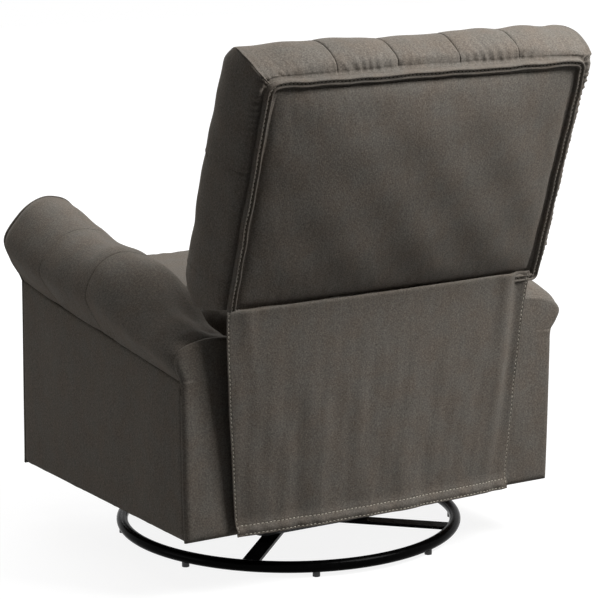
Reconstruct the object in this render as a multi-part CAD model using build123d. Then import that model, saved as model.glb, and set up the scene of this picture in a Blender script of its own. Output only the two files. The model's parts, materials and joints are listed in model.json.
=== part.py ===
"""Swivel glider recliner: a cloth armchair that swivels, glides, reclines and lifts its footrest.

Lengths are millimetres, +Z is up and the chair faces -Y. Everything is drawn from the
swivel axis at the floor, and each saved piece is moved along Y so that the origin lies
under the middle of the chair's footprint.
"""

from build123d import *
from math import atan2, cos, degrees, hypot, pi, radians, sin
import os

# ---------------------------------------------------------------- driving sizes
# fits
RUNNING_FIT = 0.05          # radial clearance of a pin that turns in its hole
PLATE_GAP = 0.8             # side clearance between plates that swing past each other
SHAFT_GAP = 2.0             # radial clearance round a shaft that passes through cloth or wood
SOFT_GAP = 10.0             # clearance between the footrest or seat cushion and the arms
CUT_PAST = 1.0              # how far a hollow is cut past the end of its piece

# ring base
RING_RADIUS = 325.0         # centre line of the floor ring
RING_TUBE = 22.0            # diameter of the ring's tube
FOOT_DIAMETER = 14.0        # plastic glides under the ring
FOOT_HEIGHT = 7.5           # how far a glide stands below the ring
FOOT_COUNT = 8
SADDLE_GAP = 0.1            # between the ring and a glide's hollowed top
SPOKE_WIDTH = 32.0          # flat bars from the ring to the middle plate
SPOKE_THICKNESS = 6.0
SPOKE_COUNT = 4
SPOKE_INNER_RADIUS = 52.0   # where the bars end under the middle plate
BASE_PLATE_X = 250.0
BASE_PLATE_Y = 204.0
BASE_PLATE_THICKNESS = 4.0
PLATE_CORNER = 18.0         # corner radius of the two flat plates

# swivel bearing
RACE_RADIUS = 80.0          # middle of the two races
RACE_WIDTH = 22.0
RACE_HEIGHT = 5.5           # each of the two races
RACE_GAP = 0.6              # daylight between the races
SLIDE_RING_WIDTH = 10.0     # nylon ring that lies in a groove of both races
SLIDE_RING_HEIGHT = 5.0
SWIVEL_PLATE_X = 240.0
SWIVEL_PLATE_Y = 196.0
SWIVEL_PLATE_THICKNESS = 4.0
KING_PIN_DIAMETER = 16.0
KING_HEAD_DIAMETER = 30.0
KING_HEAD_HEIGHT = 4.0
KING_NUT_HEIGHT = 9.0

# glide suspension: four links hang from two towers and carry the seat
CHANNEL_HEIGHT = 25.0
CHANNEL_DEPTH = 30.0
CHANNEL_WALL = 2.5
CHANNEL_Y = 80.0            # centre of the front and rear channels
TOWER_X = 118.0             # inner face of a tower
TOWER_THICKNESS = 3.0
TOWER_FOOT_HEIGHT = 30.0    # straight part at the tower's foot
TOWER_WEB_HEIGHT = 60.0     # height of the web that joins its two posts
TOWER_WINDOW = 96.0         # width between the posts
GLIDE_PIVOT_Y = 95.0        # top and lower pivots, front and rear
GLIDE_TOP_Z = 236.0         # height of the top pivots
GLIDE_LINK_LENGTH = 115.0   # top pivot to lower pivot
GLIDE_LINK_WIDTH = 24.0
GLIDE_LINK_THICKNESS = 4.0
GLIDE_PIN_DIAMETER = 10.0
GLIDE_HEAD_WIDTH = 17.0     # hexagonal, over its corners
GLIDE_HEAD_HEIGHT = 3.0
HANGER_THICKNESS = 3.0
HANGER_TOP_Z = 290.0
HANGER_TOP_HALF = 68.0      # half length of its top edge
HANGER_HOLE = 64.0          # lightening hole in its middle

# seat frame
CROSS_TUBE_SIZE = 25.0
CROSS_TUBE_WALL = 2.0
CROSS_TUBE_Y = 45.0
MECH_PLATE_X = 240.0        # inner face of a mechanism plate
MECH_PLATE_THICKNESS = 4.0
MECH_PLATE_BOTTOM_Z = 262.0
MECH_PLATE_TOP_Z = 338.0    # upper edge in front of the recline lug
MECH_PLATE_TAPER = 64.0     # its lower edge rises over this length to the front pivot
SEAT_RAIL_THICKNESS = 16.0
SEAT_RAIL_BOTTOM_Z = 262.0
SEAT_RAIL_FRONT_Y = -322.0
SEAT_RAIL_REAR_Y = 240.0
DECK_Z = 392.0              # top of the wooden seat frame
RAIL_BOARD = 20.0           # thickness of the front and rear rails
FRONT_RAIL_Y = -252.0       # middle of the front rail
FRONT_RAIL_HEIGHT = 30.0
FRONT_BOARD_THICKNESS = 12.0
FRONT_BOARD_DEPTH = 63.0
FRONT_BOARD_HALF_WIDTH = 218.0
REAR_RAIL_Y = 215.0
REAR_RAIL_HEIGHT = 42.0
WEBBING_WIDTH = 60.0
WEBBING_THICKNESS = 2.0
WEBBING_COUNT = 5
SPACER_WIDTH = 12.0         # hexagonal spacers between mechanism plate and seat rail
SPACER_PITCH = 140.0
SPACER_Z = 294.0
PIN_LAND = 12.0             # metal left round a pin's hole in a plate

# arms: outer half width is at the roll
ARM_FRONT_Y = -375.0        # front faces, the foremost point of the chair
ARM_REAR_Y = 303.0
ARM_INNER_X = 272.0
ARM_OUTER_X = 402.0         # outer panel at the seam under the roll
ARM_FOOT_X = 397.0          # outer panel at its bottom edge
ARM_PADDING = 12.0          # thickness of the padded panels
FACING_THICKNESS = 22.0     # stuffed front facing
FACING_ROUND = 20.0         # radius of its edge
ARM_BOTTOM_FRONT_Z = 99.0
ARM_BOTTOM_REAR_Z = 106.0
ARM_INNER_BOTTOM_Z = 210.0
SEAM_FRONT_Z = 470.0        # seam between panel and roll
SEAM_REAR_Z = 398.0
ROLL_TOP_FRONT_Z = 627.0
ROLL_TOP_REAR_Z = 487.0
ROLL_OVERHANG_FRONT = 22.0  # how far the roll stands out past the panel
ROLL_OVERHANG_REAR = 11.0
ROLL_SEAMS_Y = (-196.0, -11.0)
ROLL_SEAM_DEPTH = 4.0
ROLL_OUTSIDE_SHARES = ((0.65, 0.27), (1.0, 0.54), (0.05, 0.81))    # shares of the overhang and of the rise
ROLL_OVER_SHARES = ((0.24, 0.95), (0.52, 1.0), (0.84, 0.93))       # shares of the width and of the rise
ROLL_INSIDE_SHARE = 0.68          # share of the rise where the inner face turns upright
ARM_BOARD = 36.0            # width of the boards of the arm's frame

# seat cushion
CUSHION_FRONT_Y = -366.0
CUSHION_REAR_Y = 205.0
CUSHION_THICKNESS = 98.0
CUSHION_CROWN = 12.0        # from front to rear
CUSHION_CROSS_CROWN = 18.0  # from side to side
CUSHION_EDGE = 28.0         # radius of its long edges
CUSHION_DRAW_IN = 6.0       # how far its sides pull in between the corners

# back: drawn in a plane that leans, u runs up it from its lower rear edge, n to the rear
BACK_FOOT_Y = 340.0
BACK_FOOT_Z = 525.0
BACK_LEAN = 18.2            # degrees from upright
BACK_HEIGHT = 436.0         # lower to upper welt
BACK_HALF_WIDTH = 331.0     # at the welt
BACK_BULGE = 26.0           # how far the sides swell past the welt
BACK_EDGE = 12.0            # the sides have swollen most of that at this depth
BACK_SIDE_DEPTH = 137.0     # depth of the sides
BACK_TOP_DEPTH = 126.0      # and at the upper welt
BACK_CROWN = 22.0           # how far the front swells past the sides, up the back
BACK_CROSS_CROWN = 29.0     # and across it
BACK_TOP_RISE = 42.0        # crest of the top above the upper welt
BACK_TOP_LIP = 4.0          # how far the top leans over the front
BACK_FULLEST_SHARE = 0.48         # share of the height where the front swells most
BACK_SHOULDER_SHARES = (0.24, 0.76)    # roundness of the top, as shares of its half depth and rise
BACK_FOOT_TUCK = 24.0       # how far the front tucks under at the lower edge
BACK_CORNER = 46.0          # corner radius seen from behind
LOWER_BACK_DROP = 85.0      # part between the arms, below the welt
LOWER_BACK_GAP = 3.0        # between its sides and the brackets
LOWER_BACK_DEPTH = 105.0
FRAME_DEPTH = 32.0          # thickness of the back's wooden frame
FRAME_INSET = 13.0          # frame behind the rear panel's edge
FRAME_HALF_WIDTH = 300.0
FRAME_BOARD = 40.0
POST_WIDTH = 32.0
POST_DROP = 70.0            # posts reach this far below the welt
POCKET_GAP = 1.0
WELT_DIAMETER = 9.0
WELT_SPACING = 11.0         # between the outer and the inner welt
WELT_CORNER = 16.0
PANEL_CROWN = 27.0          # how far the rear panel swells across
PANEL_TALL_CROWN = 34.0     # and up
PANEL_EDGE = 4.0            # its thickness beside the welt
PANEL_GAP = 0.5

# button tufts: rows alternate, half a column apart
TUFT_COLUMN = 127.0
TUFT_ROW = 108.0
TUFT_FIRST_ROW = 70.0       # lowest row above the back's foot
TUFT_ROWS = 4
TUFT_REACH = 44.0           # half length of a tuft's diamond at the cushion's face
TUFT_FLOOR = 19.0           # half length of the diamond that holds the button
TUFT_DEPTH = 20.0
BUTTON_DIAMETER = 22.0
BUTTON_SIDES = 12
BUTTON_HEIGHT = 7.0
PLEAT_WIDTH = 3.0
PLEAT_DEPTH = 7.0

# cloth that hangs behind the seat
FLAP_TOP_HALF = 327.0
FLAP_BOTTOM_HALF = 298.0
FLAP_TOP_Z = 514.0
FLAP_BOTTOM_Z = 110.0
FLAP_TOP_Y = 340.0
FLAP_BOTTOM_Y = 312.0
FLAP_BOW = 15.0             # how far the middle stands behind the ends
FLAP_FOLD = 4.0             # height of the soft folds at the hem
FLAP_FOLDS = 4
FLAP_THICKNESS = 2.4
FLAP_PIVOT_Y = 344.0
FLAP_PIVOT_Z = 516.0

# recline and footrest
RECLINE_Y = 225.0
RECLINE_Z = 400.0
RECLINE_PIN_DIAMETER = 12.0
BRACKET_THICKNESS = 4.0
BRACKET_GAP = 3.0           # washer between bracket and mechanism plate
FOOTREST_Y = -240.0         # pivot of the driving links
FOOTREST_Z = 318.0
FOOTREST_TRAVEL_TILT = 10.0 # the footrest's straight path climbs by this many degrees
FOOTREST_FOLD = 80.0        # half angle between the folded links, in degrees
FOOTREST_LINK_LENGTH = 215.0
FOOTREST_LINK_WIDTH = 24.0
FOOTREST_LINK_THICKNESS = 4.0
FOOTREST_LINK_PITCH = 6.0   # from one layer of links to the next
FOOTREST_INNER_X = 224.0    # inner face of the innermost link
FOOTREST_PIN_DIAMETER = 8.0
STAY_OFFSET = 45.0          # the stay runs parallel to the front link at this distance
STAY_WIDTH = 20.0
STAY_FIT = 0.2              # radial clearance of its upper pivot, so that the four links never bind
TORQUE_TUBE_DIAMETER = 20.0
TORQUE_TUBE_OFFSET = 50.0   # from the driving links' pivot
FOOTREST_BOARD_THICKNESS = 12.0
FOOTREST_TOP_Z = 372.0
FOOTREST_BOTTOM_Z = 116.0
FOOTREST_PAD_FRONT_Y = -372.0
FOOTREST_PAD_EDGE = 12.0
FOOTREST_BOARD_GAP = 2.5    # between the front links and the board

# release lever on the sitter's right
LEVER_Y = -90.0
LEVER_Z = 318.0
LEVER_SHAFT_DIAMETER = 12.0
LEVER_LENGTH = 130.0
LEVER_THICKNESS = 12.0
LEVER_WIDTH = 26.0
LEVER_STANDOFF = 6.0        # between arm panel and handle

# ---------------------------------------------------------------- worked out sizes
RING_Z = FOOT_HEIGHT + RING_TUBE / 2
BASE_PLATE_Z = RING_Z + SPOKE_THICKNESS / 2
LOWER_RACE_Z = BASE_PLATE_Z + BASE_PLATE_THICKNESS
UPPER_RACE_Z = LOWER_RACE_Z + RACE_HEIGHT + RACE_GAP
SWIVEL_PLATE_Z = UPPER_RACE_Z + RACE_HEIGHT
TOWER_FOOT_Z = SWIVEL_PLATE_Z + SWIVEL_PLATE_THICKNESS
GLIDE_LOW_Z = GLIDE_TOP_Z - GLIDE_LINK_LENGTH
GLIDE_LINK_X = TOWER_X + TOWER_THICKNESS + PLATE_GAP
HANGER_X = GLIDE_LINK_X + GLIDE_LINK_THICKNESS + PLATE_GAP
CROSS_TUBE_Z = HANGER_TOP_Z + CROSS_TUBE_SIZE / 2
SEAT_RAIL_X = ARM_INNER_X - SEAT_RAIL_THICKNESS
MECH_OUTER_X = MECH_PLATE_X + MECH_PLATE_THICKNESS
BRACKET_X = MECH_OUTER_X + BRACKET_GAP
POST_X = BRACKET_X - POST_WIDTH
CUSHION_BOTTOM_Z = DECK_Z + WEBBING_THICKNESS
CUSHION_HALF_WIDTH = ARM_INNER_X - SOFT_GAP
FOOTREST_HALF_WIDTH = ARM_INNER_X - SOFT_GAP
DRIVE_LINK_X = FOOTREST_INNER_X + FOOTREST_LINK_PITCH
STAY_X = DRIVE_LINK_X + FOOTREST_LINK_PITCH
REAR_MOST_Y = (
    BACK_FOOT_Y
    + BACK_HEIGHT * sin(radians(BACK_LEAN))
    + WELT_DIAMETER / 2 * (1 + cos(radians(BACK_LEAN)))
)
FOOTPRINT_SHIFT = -(ARM_FRONT_Y + REAR_MOST_Y) / 2

# the leaning plane: its local x is the chair's X, its local y runs up the back,
# and its normal points to the front
BACK_PLANE = Plane(
    origin=(0, BACK_FOOT_Y, BACK_FOOT_Z),
    x_dir=(1, 0, 0),
    z_dir=(0, -cos(radians(BACK_LEAN)), sin(radians(BACK_LEAN))),
)
SIDE_PLANE = Plane(
    origin=(0, BACK_FOOT_Y, BACK_FOOT_Z),
    x_dir=(0, cos(radians(BACK_LEAN)), -sin(radians(BACK_LEAN))),
    z_dir=(1, 0, 0),
)
DEPTH_PLANE = Plane(
    origin=(0, BACK_FOOT_Y, BACK_FOOT_Z),
    x_dir=(1, 0, 0),
    z_dir=(0, sin(radians(BACK_LEAN)), cos(radians(BACK_LEAN))),
)


# ---------------------------------------------------------------- helpers
def save(name, *pieces):
    """Writes one node, moved so that the origin is under the middle of the footprint."""
    solids = [solid for piece in pieces for solid in piece.solids()]
    moved = [solid.moved(Location((0, FOOTPRINT_SHIFT, 0))) for solid in solids]
    export_step(Compound(children=moved) if len(moved) > 1 else moved[0], f"parts/{name}.step")


def box(x, y, z):
    """A box from three (low, high) pairs."""
    size = (x[1] - x[0], y[1] - y[0], z[1] - z[0])
    centre = ((x[0] + x[1]) / 2, (y[0] + y[1]) / 2, (z[0] + z[1]) / 2)
    return Pos(*centre) * Box(*size)


def rod(x0, x1, y, z, diameter):
    """A round bar along X."""
    return Pos((x0 + x1) / 2, y, z) * Rot(0, 90, 0) * Cylinder(diameter / 2, abs(x1 - x0))


def hex_bar(x0, x1, y, z, width):
    """A hexagonal bar along X, this wide over its corners."""
    face = Pos(y, z) * RegularPolygon(width / 2, 6)
    return extrude(Plane.YZ.offset(x0) * face, amount=x1 - x0)


def side_plate(outline, x0, thickness):
    """A flat plate in the YZ plane, from x0 outwards, with the given (y, z) corners."""
    face = make_face(Polyline(*outline, close=True))
    return extrude(Plane.YZ.offset(x0) * face, amount=thickness)


def cross_bore(x0, thickness, y, z, diameter):
    """A round hole through a plate that lies in the YZ plane from x0 outwards."""
    return rod(x0 - thickness, x0 + 2 * thickness, y, z, diameter)


def link(start, end, width, x0, thickness, holes):
    """A round-ended bar from one (y, z) pivot to another, bored at each of its holes."""
    length = hypot(end[0] - start[0], end[1] - start[1])
    angle = degrees(atan2(end[1] - start[1], end[0] - start[0]))
    middle = ((start[0] + end[0]) / 2, (start[1] + end[1]) / 2)
    face = Pos(*middle) * Rot(0, 0, angle) * SlotCenterToCenter(length, width)
    bar = extrude(Plane.YZ.offset(x0) * face, amount=thickness)
    for (y, z), diameter in holes:
        bar -= cross_bore(x0, thickness, y, z, diameter)
    return bar


def both(piece):
    """A left piece and its mirror image on the right."""
    return piece, mirror(piece, Plane.YZ)


def save_pair(name, piece):
    """Writes NAME_left and NAME_right, mirror images of each other."""
    left, right = both(piece)
    save(name + "_left", left)
    save(name + "_right", right)


def between(low, high, share):
    """The value that lies this share of the way from low to high."""
    return low + (high - low) * share


# ---------------------------------------------------------------- ring base
def ring_base():
    """The floor ring with its flat spokes, glides and middle plate."""
    save("base_ring", Pos(0, 0, RING_Z) * Torus(RING_RADIUS, RING_TUBE / 2))

    ring_bore = Pos(0, 0, RING_Z) * Torus(RING_RADIUS, RING_TUBE / 2)
    spoke = box(
        (SPOKE_INNER_RADIUS, RING_RADIUS),
        (-SPOKE_WIDTH / 2, SPOKE_WIDTH / 2),
        (RING_Z - SPOKE_THICKNESS / 2, RING_Z + SPOKE_THICKNESS / 2),
    ) - ring_bore
    step = 360 / SPOKE_COUNT
    save("base_spokes", *[Rot(0, 0, step * (k + 0.5)) * spoke for k in range(SPOKE_COUNT)])

    saddle = Cylinder(RING_TUBE / 2 + SADDLE_GAP, 2 * FOOT_DIAMETER)
    saddle = Pos(RING_RADIUS, 0, RING_Z) * Rot(90, 0, 0) * saddle
    foot = Pos(RING_RADIUS, 0, RING_Z / 2) * Cylinder(FOOT_DIAMETER / 2, RING_Z) - saddle
    step = 360 / FOOT_COUNT
    save("base_feet", *[Rot(0, 0, step * (k + 0.5)) * foot for k in range(FOOT_COUNT)])

    plate = extrude(RectangleRounded(BASE_PLATE_X, BASE_PLATE_Y, PLATE_CORNER), amount=BASE_PLATE_THICKNESS)
    plate -= Cylinder(KING_PIN_DIAMETER / 2, 4 * BASE_PLATE_THICKNESS)
    save("base_plate", Pos(0, 0, BASE_PLATE_Z) * plate)


# ---------------------------------------------------------------- swivel bearing
def swivel_bearing():
    """Two grooved races round a king pin, with a nylon ring that slides between them."""
    def ring(width, low, high):
        middle = (low + high) / 2
        return Pos(0, 0, middle) * (
            Cylinder(RACE_RADIUS + width / 2, high - low) - Cylinder(RACE_RADIUS - width / 2, high - low)
        )

    slide_low = UPPER_RACE_Z - (RACE_GAP + SLIDE_RING_HEIGHT) / 2
    slide_high = slide_low + SLIDE_RING_HEIGHT
    groove = ring(SLIDE_RING_WIDTH + 2 * RUNNING_FIT, slide_low, slide_high + RUNNING_FIT)
    save("swivel_lower_race", ring(RACE_WIDTH, LOWER_RACE_Z, LOWER_RACE_Z + RACE_HEIGHT) - groove)
    save("swivel_upper_race", ring(RACE_WIDTH, UPPER_RACE_Z, UPPER_RACE_Z + RACE_HEIGHT) - groove)
    save("swivel_slide_ring", ring(SLIDE_RING_WIDTH, slide_low, slide_high))

    nut_z = TOWER_FOOT_Z + PLATE_GAP
    shank = nut_z + KING_NUT_HEIGHT - BASE_PLATE_Z
    pin = Pos(0, 0, BASE_PLATE_Z + shank / 2) * Cylinder(KING_PIN_DIAMETER / 2, shank)
    pin += Pos(0, 0, BASE_PLATE_Z - KING_HEAD_HEIGHT / 2) * Cylinder(
        KING_HEAD_DIAMETER / 2, KING_HEAD_HEIGHT
    )
    nut = extrude(RegularPolygon(KING_HEAD_DIAMETER / 2, 6), amount=KING_NUT_HEIGHT)
    pin += Pos(0, 0, nut_z) * nut
    save("swivel_king_pin", pin)

    plate = extrude(
        RectangleRounded(SWIVEL_PLATE_X, SWIVEL_PLATE_Y, PLATE_CORNER), amount=SWIVEL_PLATE_THICKNESS
    )
    plate -= Cylinder(KING_PIN_DIAMETER / 2 + RUNNING_FIT, 4 * SWIVEL_PLATE_THICKNESS)
    save("swivel_plate", Pos(0, 0, SWIVEL_PLATE_Z) * plate)


# ---------------------------------------------------------------- glide suspension
def glide_suspension():
    """Two towers, four hanging links and the hangers that they carry."""
    top = (TOWER_FOOT_Z, TOWER_FOOT_Z + CHANNEL_HEIGHT)
    outer = box((-TOWER_X, TOWER_X), (CHANNEL_Y - CHANNEL_DEPTH / 2, CHANNEL_Y + CHANNEL_DEPTH / 2), top)
    hollow = box(
        (-TOWER_X - CUT_PAST, TOWER_X + CUT_PAST),
        (CHANNEL_Y - CHANNEL_DEPTH / 2 - CUT_PAST, CHANNEL_Y + CHANNEL_DEPTH / 2 - CHANNEL_WALL),
        (top[0] + CHANNEL_WALL, top[1] - CHANNEL_WALL),
    )
    channel = outer - hollow
    save("glide_channels", channel, mirror(channel, Plane.XZ))

    foot_half = SWIVEL_PLATE_Y / 2
    post_outer = GLIDE_PIVOT_Y + GLIDE_LINK_WIDTH / 2
    post_inner = TOWER_WINDOW / 2
    crown_z = GLIDE_TOP_Z + GLIDE_LINK_WIDTH / 2
    half = [
        (foot_half, TOWER_FOOT_Z),
        (foot_half, TOWER_FOOT_Z + TOWER_FOOT_HEIGHT),
        (post_outer, GLIDE_TOP_Z - TOWER_FOOT_HEIGHT),
        (post_outer, crown_z),
        (GLIDE_PIVOT_Y - GLIDE_LINK_WIDTH / 2, crown_z),
        (post_inner, TOWER_FOOT_Z + TOWER_WEB_HEIGHT),
    ]
    outline = half + [(-y, z) for y, z in reversed(half)]
    tower = side_plate(outline, TOWER_X, TOWER_THICKNESS)
    for y in (-GLIDE_PIVOT_Y, GLIDE_PIVOT_Y):
        tower -= cross_bore(TOWER_X, TOWER_THICKNESS, y, GLIDE_TOP_Z, GLIDE_PIN_DIAMETER)
    save_pair("glide_tower", tower)

    bore = GLIDE_PIN_DIAMETER + 2 * RUNNING_FIT
    for name, y in (("front", -GLIDE_PIVOT_Y), ("rear", GLIDE_PIVOT_Y)):
        bar = link(
            (y, GLIDE_LOW_Z), (y, GLIDE_TOP_Z), GLIDE_LINK_WIDTH, GLIDE_LINK_X, GLIDE_LINK_THICKNESS,
            [((y, GLIDE_LOW_Z), bore), ((y, GLIDE_TOP_Z), bore)],
        )
        save("glide_links_" + name, *both(bar))

    hanger_half = GLIDE_PIVOT_Y + GLIDE_LINK_WIDTH / 2
    low, knee = GLIDE_LOW_Z - GLIDE_LINK_WIDTH / 2, GLIDE_LOW_Z + GLIDE_LINK_WIDTH / 2
    half = [(hanger_half, low), (hanger_half, knee), (HANGER_TOP_HALF, HANGER_TOP_Z)]
    outline = half + [(-y, z) for y, z in reversed(half)]
    hanger = side_plate(outline, HANGER_X, HANGER_THICKNESS)
    hanger -= cross_bore(HANGER_X, HANGER_THICKNESS, 0, (low + HANGER_TOP_Z) / 2, HANGER_HOLE)
    for y in (-GLIDE_PIVOT_Y, GLIDE_PIVOT_Y):
        hanger -= cross_bore(HANGER_X, HANGER_THICKNESS, y, GLIDE_LOW_Z, GLIDE_PIN_DIAMETER)
    save_pair("glide_hanger", hanger)

    top_pins, low_pins = [], []
    for y in (-GLIDE_PIVOT_Y, GLIDE_PIVOT_Y):
        shank = rod(TOWER_X, GLIDE_LINK_X + GLIDE_LINK_THICKNESS, y, GLIDE_TOP_Z, GLIDE_PIN_DIAMETER)
        head = hex_bar(TOWER_X - GLIDE_HEAD_HEIGHT, TOWER_X, y, GLIDE_TOP_Z, GLIDE_HEAD_WIDTH)
        top_pins += both(shank + head)
        hanger_outer = HANGER_X + HANGER_THICKNESS
        shank = rod(GLIDE_LINK_X, hanger_outer, y, GLIDE_LOW_Z, GLIDE_PIN_DIAMETER)
        head = hex_bar(hanger_outer, hanger_outer + GLIDE_HEAD_HEIGHT, y, GLIDE_LOW_Z, GLIDE_HEAD_WIDTH)
        low_pins += both(shank + head)
    save("glide_top_pins", *top_pins)
    save("glide_lower_pins", *low_pins)


# ---------------------------------------------------------------- seat frame
def seat_frame():
    """Cross tubes, mechanism plates, wooden rails and webbing under the seat."""
    tubes = []
    for y in (-CROSS_TUBE_Y, CROSS_TUBE_Y):
        half, bore = CROSS_TUBE_SIZE / 2, CROSS_TUBE_SIZE / 2 - CROSS_TUBE_WALL
        tube = box(
            (-MECH_PLATE_X, MECH_PLATE_X), (y - half, y + half), (CROSS_TUBE_Z - half, CROSS_TUBE_Z + half)
        )
        tube -= box(
            (-MECH_PLATE_X - CUT_PAST, MECH_PLATE_X + CUT_PAST), (y - bore, y + bore),
            (CROSS_TUBE_Z - bore, CROSS_TUBE_Z + bore),
        )
        tubes.append(tube)
    save("seat_cross_tubes", *tubes)

    lug = FOOTREST_PIN_DIAMETER / 2 + PIN_LAND
    recline_lug = RECLINE_PIN_DIAMETER / 2 + PIN_LAND
    outline = [
        (FOOTREST_Y - lug, FOOTREST_Z - lug),
        (FOOTREST_Y - lug, FOOTREST_Z + lug),
        (RECLINE_Y - recline_lug, MECH_PLATE_TOP_Z),
        (RECLINE_Y - recline_lug, RECLINE_Z + recline_lug),
        (RECLINE_Y + recline_lug, RECLINE_Z + recline_lug),
        (RECLINE_Y + recline_lug, RECLINE_Z - recline_lug),
        (RECLINE_Y, MECH_PLATE_BOTTOM_Z + 2 * recline_lug),
        (RECLINE_Y, MECH_PLATE_BOTTOM_Z),
        (FOOTREST_Y + MECH_PLATE_TAPER, MECH_PLATE_BOTTOM_Z),
    ]
    plate = side_plate(outline, MECH_PLATE_X, MECH_PLATE_THICKNESS)
    plate -= cross_bore(MECH_PLATE_X, MECH_PLATE_THICKNESS, FOOTREST_Y, FOOTREST_Z, FOOTREST_PIN_DIAMETER)
    plate -= cross_bore(MECH_PLATE_X, MECH_PLATE_THICKNESS, RECLINE_Y, RECLINE_Z, RECLINE_PIN_DIAMETER)
    left, right = both(plate)
    save("mech_plate_left", left)
    save("mech_plate_right", right - lever_bore())

    spacers = []
    for k in (-1, 0, 1):
        spacers += both(hex_bar(MECH_OUTER_X, SEAT_RAIL_X, k * SPACER_PITCH, SPACER_Z, SPACER_WIDTH))
    save("mech_bolts", *spacers)

    rail = box(
        (SEAT_RAIL_X, ARM_INNER_X), (SEAT_RAIL_FRONT_Y, SEAT_RAIL_REAR_Y), (SEAT_RAIL_BOTTOM_Z, DECK_Z)
    )
    left, right = both(rail)
    save("seat_rail_left", left)
    save("seat_rail_right", right - lever_bore())

    board_z = DECK_Z - FRONT_BOARD_THICKNESS
    front_rail_rear = FRONT_RAIL_Y + RAIL_BOARD / 2
    save("seat_front_rail", box(
        (-SEAT_RAIL_X, SEAT_RAIL_X), (FRONT_RAIL_Y - RAIL_BOARD / 2, front_rail_rear),
        (board_z - FRONT_RAIL_HEIGHT, board_z),
    ))
    save("seat_front_board", box(
        (-FRONT_BOARD_HALF_WIDTH, FRONT_BOARD_HALF_WIDTH),
        (front_rail_rear - FRONT_BOARD_DEPTH, front_rail_rear), (board_z, DECK_Z),
    ))
    save("seat_rear_rail", box(
        (-MECH_PLATE_X, MECH_PLATE_X), (REAR_RAIL_Y - RAIL_BOARD / 2, REAR_RAIL_Y + RAIL_BOARD / 2),
        (DECK_Z - REAR_RAIL_HEIGHT, DECK_Z),
    ))

    straps = []
    pitch = 2 * FRONT_BOARD_HALF_WIDTH / WEBBING_COUNT
    for k in range(WEBBING_COUNT):
        x = (k - (WEBBING_COUNT - 1) / 2) * pitch
        straps.append(box(
            (x - WEBBING_WIDTH / 2, x + WEBBING_WIDTH / 2),
            (front_rail_rear - FRONT_BOARD_DEPTH, REAR_RAIL_Y + RAIL_BOARD / 2),
            (DECK_Z, CUSHION_BOTTOM_Z),
        ))
    save("seat_webbing", *straps)

    pins = []
    pins += both(rod(DRIVE_LINK_X, MECH_OUTER_X, FOOTREST_Y, FOOTREST_Z, FOOTREST_PIN_DIAMETER))
    pins += both(rod(MECH_PLATE_X, BRACKET_X + BRACKET_THICKNESS, RECLINE_Y, RECLINE_Z, RECLINE_PIN_DIAMETER))
    save("mech_pins", *pins)


def seat_cushion():
    """A crowned block with rounded edges, its sides pulled in between the corners."""
    edge = CUSHION_EDGE
    corner = edge * (1 - cos(pi / 4))

    def crowned(low, high, crown, plane, reach):
        shoulder = CUSHION_BOTTOM_Z + CUSHION_THICKNESS - CUSHION_CROWN
        top = shoulder + crown
        outline = (
            Line((low, CUSHION_BOTTOM_Z), (low, shoulder - edge))
            + ThreePointArc(
                (low, shoulder - edge), (low + corner, shoulder - corner), (low + edge, shoulder)
            )
            + ThreePointArc((low + edge, shoulder), ((low + high) / 2, top), (high - edge, shoulder))
            + ThreePointArc(
                (high - edge, shoulder), (high - corner, shoulder - corner), (high, shoulder - edge)
            )
            + Line((high, shoulder - edge), (high, CUSHION_BOTTOM_Z))
            + Line((high, CUSHION_BOTTOM_Z), (low, CUSHION_BOTTOM_Z))
        )
        return extrude(plane * make_face(outline), amount=reach, both=True)

    w, draw = CUSHION_HALF_WIDTH, CUSHION_DRAW_IN
    y0, y1 = CUSHION_FRONT_Y, CUSHION_REAR_Y
    lengthwise = crowned(y0 - draw, y1 + draw, CUSHION_CROWN, Plane.YZ, w + draw)
    crosswise = crowned(-w - draw, w + draw, CUSHION_CROSS_CROWN, Plane.XZ, y1 - y0)
    middle = (y0 + y1) / 2
    plan = (
        ThreePointArc((-w + edge, y0), (0, y0 + draw), (w - edge, y0))
        + ThreePointArc((w - edge, y0), (w - corner, y0 + corner), (w, y0 + edge))
        + ThreePointArc((w, y0 + edge), (w - draw, middle), (w, y1 - edge))
        + ThreePointArc((w, y1 - edge), (w - corner, y1 - corner), (w - edge, y1))
        + ThreePointArc((w - edge, y1), (0, y1 - draw), (-w + edge, y1))
        + ThreePointArc((-w + edge, y1), (-w + corner, y1 - corner), (-w, y1 - edge))
        + ThreePointArc((-w, y1 - edge), (-w + draw, middle), (-w, y0 + edge))
        + ThreePointArc((-w, y0 + edge), (-w + corner, y0 + corner), (-w + edge, y0))
    )
    upright = extrude(Pos(0, 0, CUSHION_BOTTOM_Z) * make_face(plan), amount=2 * CUSHION_THICKNESS)
    save("seat_cushion", lengthwise & crosswise & upright)


# ---------------------------------------------------------------- arms
def along_arm(y):
    """Share of the way from the arm's front face to its rear face."""
    return (y - ARM_FRONT_Y) / (ARM_REAR_Y - ARM_FRONT_Y)


def seam_z(y):
    """Height of the seam between the outer panel and the roll."""
    return between(SEAM_FRONT_Z, SEAM_REAR_Z, along_arm(y))


def arm_bottom_z(y):
    """Height of the arm's lower edge."""
    return between(ARM_BOTTOM_FRONT_Z, ARM_BOTTOM_REAR_Z, along_arm(y))


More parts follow.
